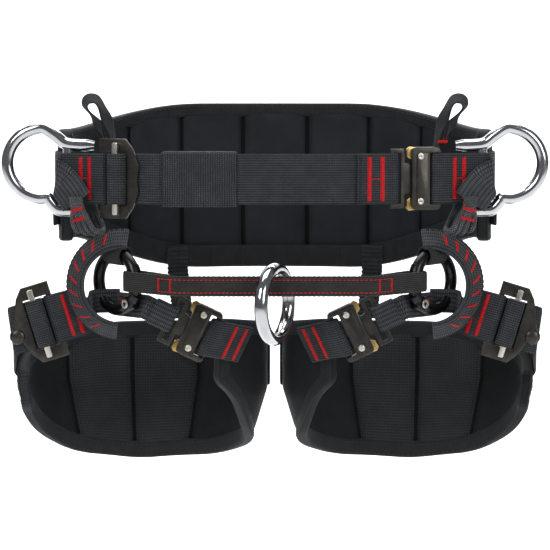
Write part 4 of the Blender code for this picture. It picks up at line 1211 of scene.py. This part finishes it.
def side_tab(name, sign):
    """A short webbing tab that stands out from the pad's end, below the belt."""
    root = waist_point(sign * 99, PAD_THICK * 0.75, -0.036)
    tip = root + Vector((sign * 0.006, -0.012, -0.001))
    run = Run([root, (root + tip) / 2 + X * (sign * 0.001), tip], Z, 0.017, 0.0030, upright=True)
    strap("pad_end_tab_" + name, [], "saddle", run, "tape")


# ---------------------------------------------------------------- legs

def leg_adjuster_frame(sign):
    slope = math.radians(17)
    return place((sign * 0.2145, -0.052, -0.1335), (sign * math.cos(slope), 0, -math.sin(slope)), -Y)


def leg_buckle_frame(sign):
    slope = math.radians(25.5)
    return place((sign * 0.080, -0.0785, -0.1335), (-sign * math.cos(slope), 0, -math.sin(slope)), -Y)


def upward(at):
    """A fitting frame's crosswise direction, turned upward."""
    v = at.to_3x3() @ Y
    return v if v.z > 0 else -v


def tack_between(run, body, start, end, shares, half, reach):
    """Bar tacks on the front of a loop, at shares of the way between its ends."""
    for share in shares:
        tack(run, body, run.near(start.lerp(end, share) - Y * 0.003), -half, half, reach=reach)


def make_leg_pad(name, sign):
    """The leg pad: a shell with a mesh middle, and its binding."""
    leg = "leg_" + name
    pad = Pad(thigh_point(sign), LEG_INNER_REACH, LEG_OUTER_REACH, eased(LEG_BOTTOM), eased(LEG_TOP),
              LEG_PAD_THICK)
    make_pad("leg_pad_quilted_" + name, ["leg_pad_" + name], leg, pad, LEG_CHANNELS,
             ["shell", "mesh", "cloth"], lambda a: 1 if LEG_CHANNELS[1] < a < LEG_CHANNELS[-1] else 0,
             columns=230, rows=34, groove=0.0042, round_end=0.018)
    make_binding("leg_pad_binding_" + name, leg, pad, 0.016, 0.0070)


def make_leg_adjuster(name, sign):
    """The adjuster's frame, grooved bar and boss, with a webbing flap behind them."""
    leg, adjuster = "leg_" + name, leg_adjuster_frame(sign)
    prefix = "leg_adjuster_%s_" % name
    refined(prefix + "frame", leg, "gunmetal", 0.0008)
    refined(prefix + "bar", prefix + "bar", "nickel", 0.0005)
    rise = 1 if (adjuster.to_3x3() @ Y).z > 0 else -1
    boss = adjuster @ Vector((0.0235, -0.006 * rise, FRAME_THICK / 2 - 0.0006))
    turned("adjuster_boss_" + name, leg, "gunmetal", boss, -Y, dome(0.0070, 0.0028), 40)
    deep = TAIL_DEPTH + 0.0042
    run = Run([spot(adjuster, x, -deep) for x in (-0.030, -0.010, 0.012)], upward(adjuster),
              WEB_WIDTH - 0.003, 0.0018, upright=True)
    strap("adjuster_backing_" + name, [], leg, run, "tape")


def make_outer_tab(name, sign):
    """The webbing loop from the sleeve's foot to the adjuster, which bends as the leg swings."""
    adjuster = leg_adjuster_frame(sign)
    foot, end = Vector((sign * 0.177, -0.0425, -0.1235)), spot(adjuster, TAB_BAR_AT)
    run = strap_loop(foot, WEB_THICK / 2 + STITCH_GAP, end, TAB_BAR_RADIUS, upward(adjuster), WEB_WIDTH,
                     0.006)
    joint = ("saddle", "leg_" + name, tuple(foot), tuple(end))
    strap("outer_tab_webbing_" + name, ["outer_tab_" + name], joint, run)
    tack_between(run, joint, foot, end, (0.20, 0.52), TACK_HALF, 0.0040)
    dashes(run, joint, 0.0, run.near(foot.lerp(end, 0.55) - Y * 0.003) - 0.001, run.near(end - Y * 0.006),
           "black")


def make_leg_strap(name, sign):
    """The strap round the leg pad, threaded through the adjuster."""
    leg, adjuster, point = "leg_" + name, leg_adjuster_frame(sign), thigh_point(sign)
    out = LEG_PAD_THICK + GAP + WEB_THICK / 2 + 0.0002
    angles = [LEG_OUTER_REACH - 5.2 * k for k in range(38)]
    around = [point(a, out, curve_at(LEG_STRAP_HEIGHT, a)) for a in angles if a > -85]
    threaded = hairpin(adjuster, 0.022)
    threaded += [spot(adjuster, 0.022, -LOAD_DEPTH - 0.0004), spot(adjuster, 0.0285, -LOAD_DEPTH - 0.004)]
    level = upward(adjuster)
    across = [level] * (len(threaded) - 1) + [(level + Z).normalized()] + [Z] * len(around)
    run = Run(threaded + around, across, WEB_WIDTH - 0.001, WEB_THICK, upright=True, rounds=2)
    strap("leg_strap_webbing_" + name, ["leg_strap_" + name], leg, run)
    for degrees in (-60, -20, 20, 60):
        s = run.near(point(degrees, out, curve_at(LEG_STRAP_HEIGHT, degrees)))
        tack(run, leg, s, -0.019, 0.019, toward=outward(point, degrees))


def make_inner_tab(name, sign):
    """The webbing loop from the pad's inner wing to the buckle."""
    leg, buckle = "leg_" + name, leg_buckle_frame(sign)
    wing, end = Vector((sign * 0.0290, -0.0605, -0.1525)), spot(buckle, END_BAR_AT)
    run = strap_loop(wing, WEB_THICK / 2 + STITCH_GAP, end, END_BAR_RADIUS, upward(buckle), 0.035, 0.007)
    strap("inner_tab_webbing_" + name, ["inner_tab_" + name], leg, run)
    tack_between(run, leg, wing, end, (0.10, 0.42), 0.0155, 0.0034)


def make_leg_buckle(name, sign):
    """The leg buckle, and the narrow folded webbing that holds its tongue."""
    tongue, buckle = "leg_tongue_" + name, leg_buckle_frame(sign)
    latches = ["leg_latch_%s_%s" % (name, which) for which in ("upper", "lower")]
    make_buckle("leg_buckle_" + name, buckle, 0.038, "leg_" + name, latches, tongue, False)
    run = fold_round_tongue(buckle, 0.024, 0.0165)
    strap("leg_fold_webbing_" + name, ["leg_tongue_strap_" + name], tongue, run, "ribbed")


def make_ring_strap(name, sign):
    """The webbing from the tongue's fold that passes behind the ring's lower part."""
    buckle, centre, plane = leg_buckle_frame(sign), ring_centre(sign), ring_plane(sign)
    thick = 0.0049
    inner = upward(buckle)
    clear = RING_TUBE + GAP + 0.0051 / 2 + 0.0004
    behind = centre + behind_ring(sign) * clear + Z * -0.0215
    path = [spot(buckle, MALE_BAR_AT - 0.0105), spot(buckle, MALE_BAR_AT - 0.0225),
            behind + plane * (RING_RADIUS + 0.003) + behind_ring(sign) * 0.0006,
            behind + plane * 0.008, behind - plane * 0.008]
    run = Run(path, [inner, inner, (inner + Z).normalized(), Z, Z], 0.022, thick, step=0.0015, rounds=5)
    joint = ("leg_" + name, "saddle", tuple(path[1]), tuple(path[3]))
    strap("ring_strap_webbing_" + name, ["ring_strap_" + name], joint, run, "ribbed")
    tack(run, joint, run.length - 0.006, -0.006, 0.006, reach=0.0024)


def make_leg(name, sign):
    make_leg_pad(name, sign)
    make_leg_adjuster(name, sign)
    make_outer_tab(name, sign)
    make_leg_strap(name, sign)
    make_inner_tab(name, sign)
    make_leg_buckle(name, sign)
    make_ring_strap(name, sign)


def make_ring_tail(name, sign):
    """The webbing that runs from the sleeve's foot, through the ring, to the strap beyond it."""
    centre, plane = ring_centre(sign), ring_plane(sign)
    back = behind_ring(sign) * (RING_TUBE + 0.0042)
    drop = Z * -0.0185
    path = [centre - plane * 0.0075 + back + drop,
            centre - plane * 0.0135 + behind_ring(sign) * 0.002 + drop,
            centre - plane * 0.0230 - back + drop * 1.05,
            Vector((sign * 0.1690, -0.0600, -0.1190)), Vector((sign * 0.1735, -0.0590, -0.1225))]
    run = Run(smooth_path(path, 5), Z, 0.022, 0.0032, step=0.0015, rounds=4)
    strap("ring_tail_webbing_" + name, [], "saddle", run, "ribbed")


def make_riser(name, sign):
    """Ruched elastic from the back pad to the leg pad, with its slider."""
    pitch = 0.0042
    top = Vector((sign * 0.0955, 0.1020, -0.074))
    bend = Vector((sign * 0.0955, 0.1015, -0.098))
    foot = Vector((sign * 0.0900, 0.0830, -0.1435))
    panel = Vector((sign * 0.89, -0.455, 0))

    run = Run([top, bend, foot], panel, 0.022, 0.0016, upright=True, step=0.0007, rounds=8,
              bulge=lambda s: 0.0007 * math.sin(s * 2 * math.pi / pitch))
    joint = ("saddle", "leg_" + name, tuple(bend), tuple(foot))
    strap("riser_elastic_" + name, ["riser_" + name], joint, run, "elastic",
          lambda s: 0.03 * math.sin(s * 2 * math.pi / pitch + 1))
    refined("riser_slider_" + name, "riser_slider_" + name, "plastic", 0.0006)


# ---------------------------------------------------------------- floor, light and camera

def backdrop():
    """A pale floor that curves up into a wall far behind."""
    half, near, far, radius, floor_z = 6.0, -4.0, 3.4, 1.2, -0.62
    profile = [(near, floor_z), (far - radius, floor_z)]
    for k in range(1, 13):
        a = math.radians(90 * k / 12)
        profile.append((far - radius + radius * math.sin(a), floor_z + radius * (1 - math.cos(a))))
    profile.append((far, floor_z + 6))
    points, faces = [], []
    for y, z in profile:
        points += [(-half, y, z), (half, y, z)]
    for i in range(len(profile) - 1):
        faces.append((2 * i, 2 * i + 1, 2 * i + 3, 2 * i + 2))
    mesh = bpy.data.meshes.new("backdrop")
    mesh.from_pydata(points, [], faces)
    mesh.shade_smooth()
    m = Nodes("pale_floor", (0.93, 0.93, 0.93), 0.8)
    m.rough(m.noise(3), 0.75, 0.9)
    mesh.materials.append(m.material)
    floor = bpy.data.objects.new("floor", mesh)
    bpy.context.scene.collection.objects.link(floor)


# Each lamp's name, place, target, size and power
LAMPS = (("key", (-1.5, -2.4, 1.6), (0, 0, -0.05), (1.3, 1.3), 44),
         ("fill", (1.8, -2.2, 0.9), (0, 0, -0.1), (1.2, 1.6), 30),
         ("top", (0, -0.1, 2.3), (0, 0, 0), (2.2, 1.4), 34),
         ("back_wall", (0, 1.6, 2.6), (0, 3.4, 0.0), (4.5, 1.2), 190))
SKY, SKY_STRENGTH = (0.80, 0.82, 0.85, 1), 0.16
CAMERA_TARGET, CAMERA_DISTANCE, CAMERA_RISE = Vector((0, 0, -0.094)), 2.0, math.radians(5)
CAMERA_SENSOR, CAMERA_LENS = 36.0, 139.811


def stand(name, data, where, target):
    """Put a lamp or camera in the scene, looking at its target."""
    made = bpy.data.objects.new(name, data)
    bpy.context.scene.collection.objects.link(made)
    made.location = where
    made.rotation_euler = (Vector(target) - Vector(where)).to_track_quat("-Z", "Y").to_euler()
    return made


def make_studio():
    backdrop()
    for name, where, target, size, power in LAMPS:
        light = bpy.data.lights.new(name, "AREA")
        light.shape = "RECTANGLE"
        light.size, light.size_y = size
        light.energy = power
        stand(name, light, where, target)
    world = bpy.data.worlds.new("studio")
    world.use_nodes = True
    sky = world.node_tree.nodes["Background"]
    sky.inputs["Color"].default_value = SKY
    sky.inputs["Strength"].default_value = SKY_STRENGTH
    bpy.context.scene.world = world
    bpy.context.scene.view_settings.view_transform = "Standard"
    camera = bpy.data.cameras.new("camera")
    camera.sensor_width = CAMERA_SENSOR
    camera.lens = CAMERA_LENS
    camera.clip_end = 50
    away = Vector((0, -math.cos(CAMERA_RISE), math.sin(CAMERA_RISE))) * CAMERA_DISTANCE
    bpy.context.scene.camera = stand("camera", camera, CAMERA_TARGET + away, CAMERA_TARGET)


def make_saddle():
    make_back_pad()
    make_belt_front()
    refined("waist_adjuster_frame", "saddle", "gunmetal", 0.0008)
    refined("waist_adjuster_bar", "waist_adjuster_bar", "nickel", 0.0005)
    make_buckle("waist_buckle", BUCKLE, WEB_WIDTH, "saddle", ["waist_latch_upper", "waist_latch_lower"],
                "waist_tongue", True)
    make_bridge()
    make_bridge_ring()
    for name, sign in SIDES:
        make_d_ring(name, sign)
        make_sling(name, sign)
        make_lashing(name, sign)
        make_top_loop(name, sign)
        make_openable_ring(name, sign)
        make_sleeve(name, sign)
        make_cuff(name, sign)
        make_ring_tail(name, sign)
        make_riser(name, sign)
        make_leg(name, sign)
    sew()


make_saddle()
make_studio()
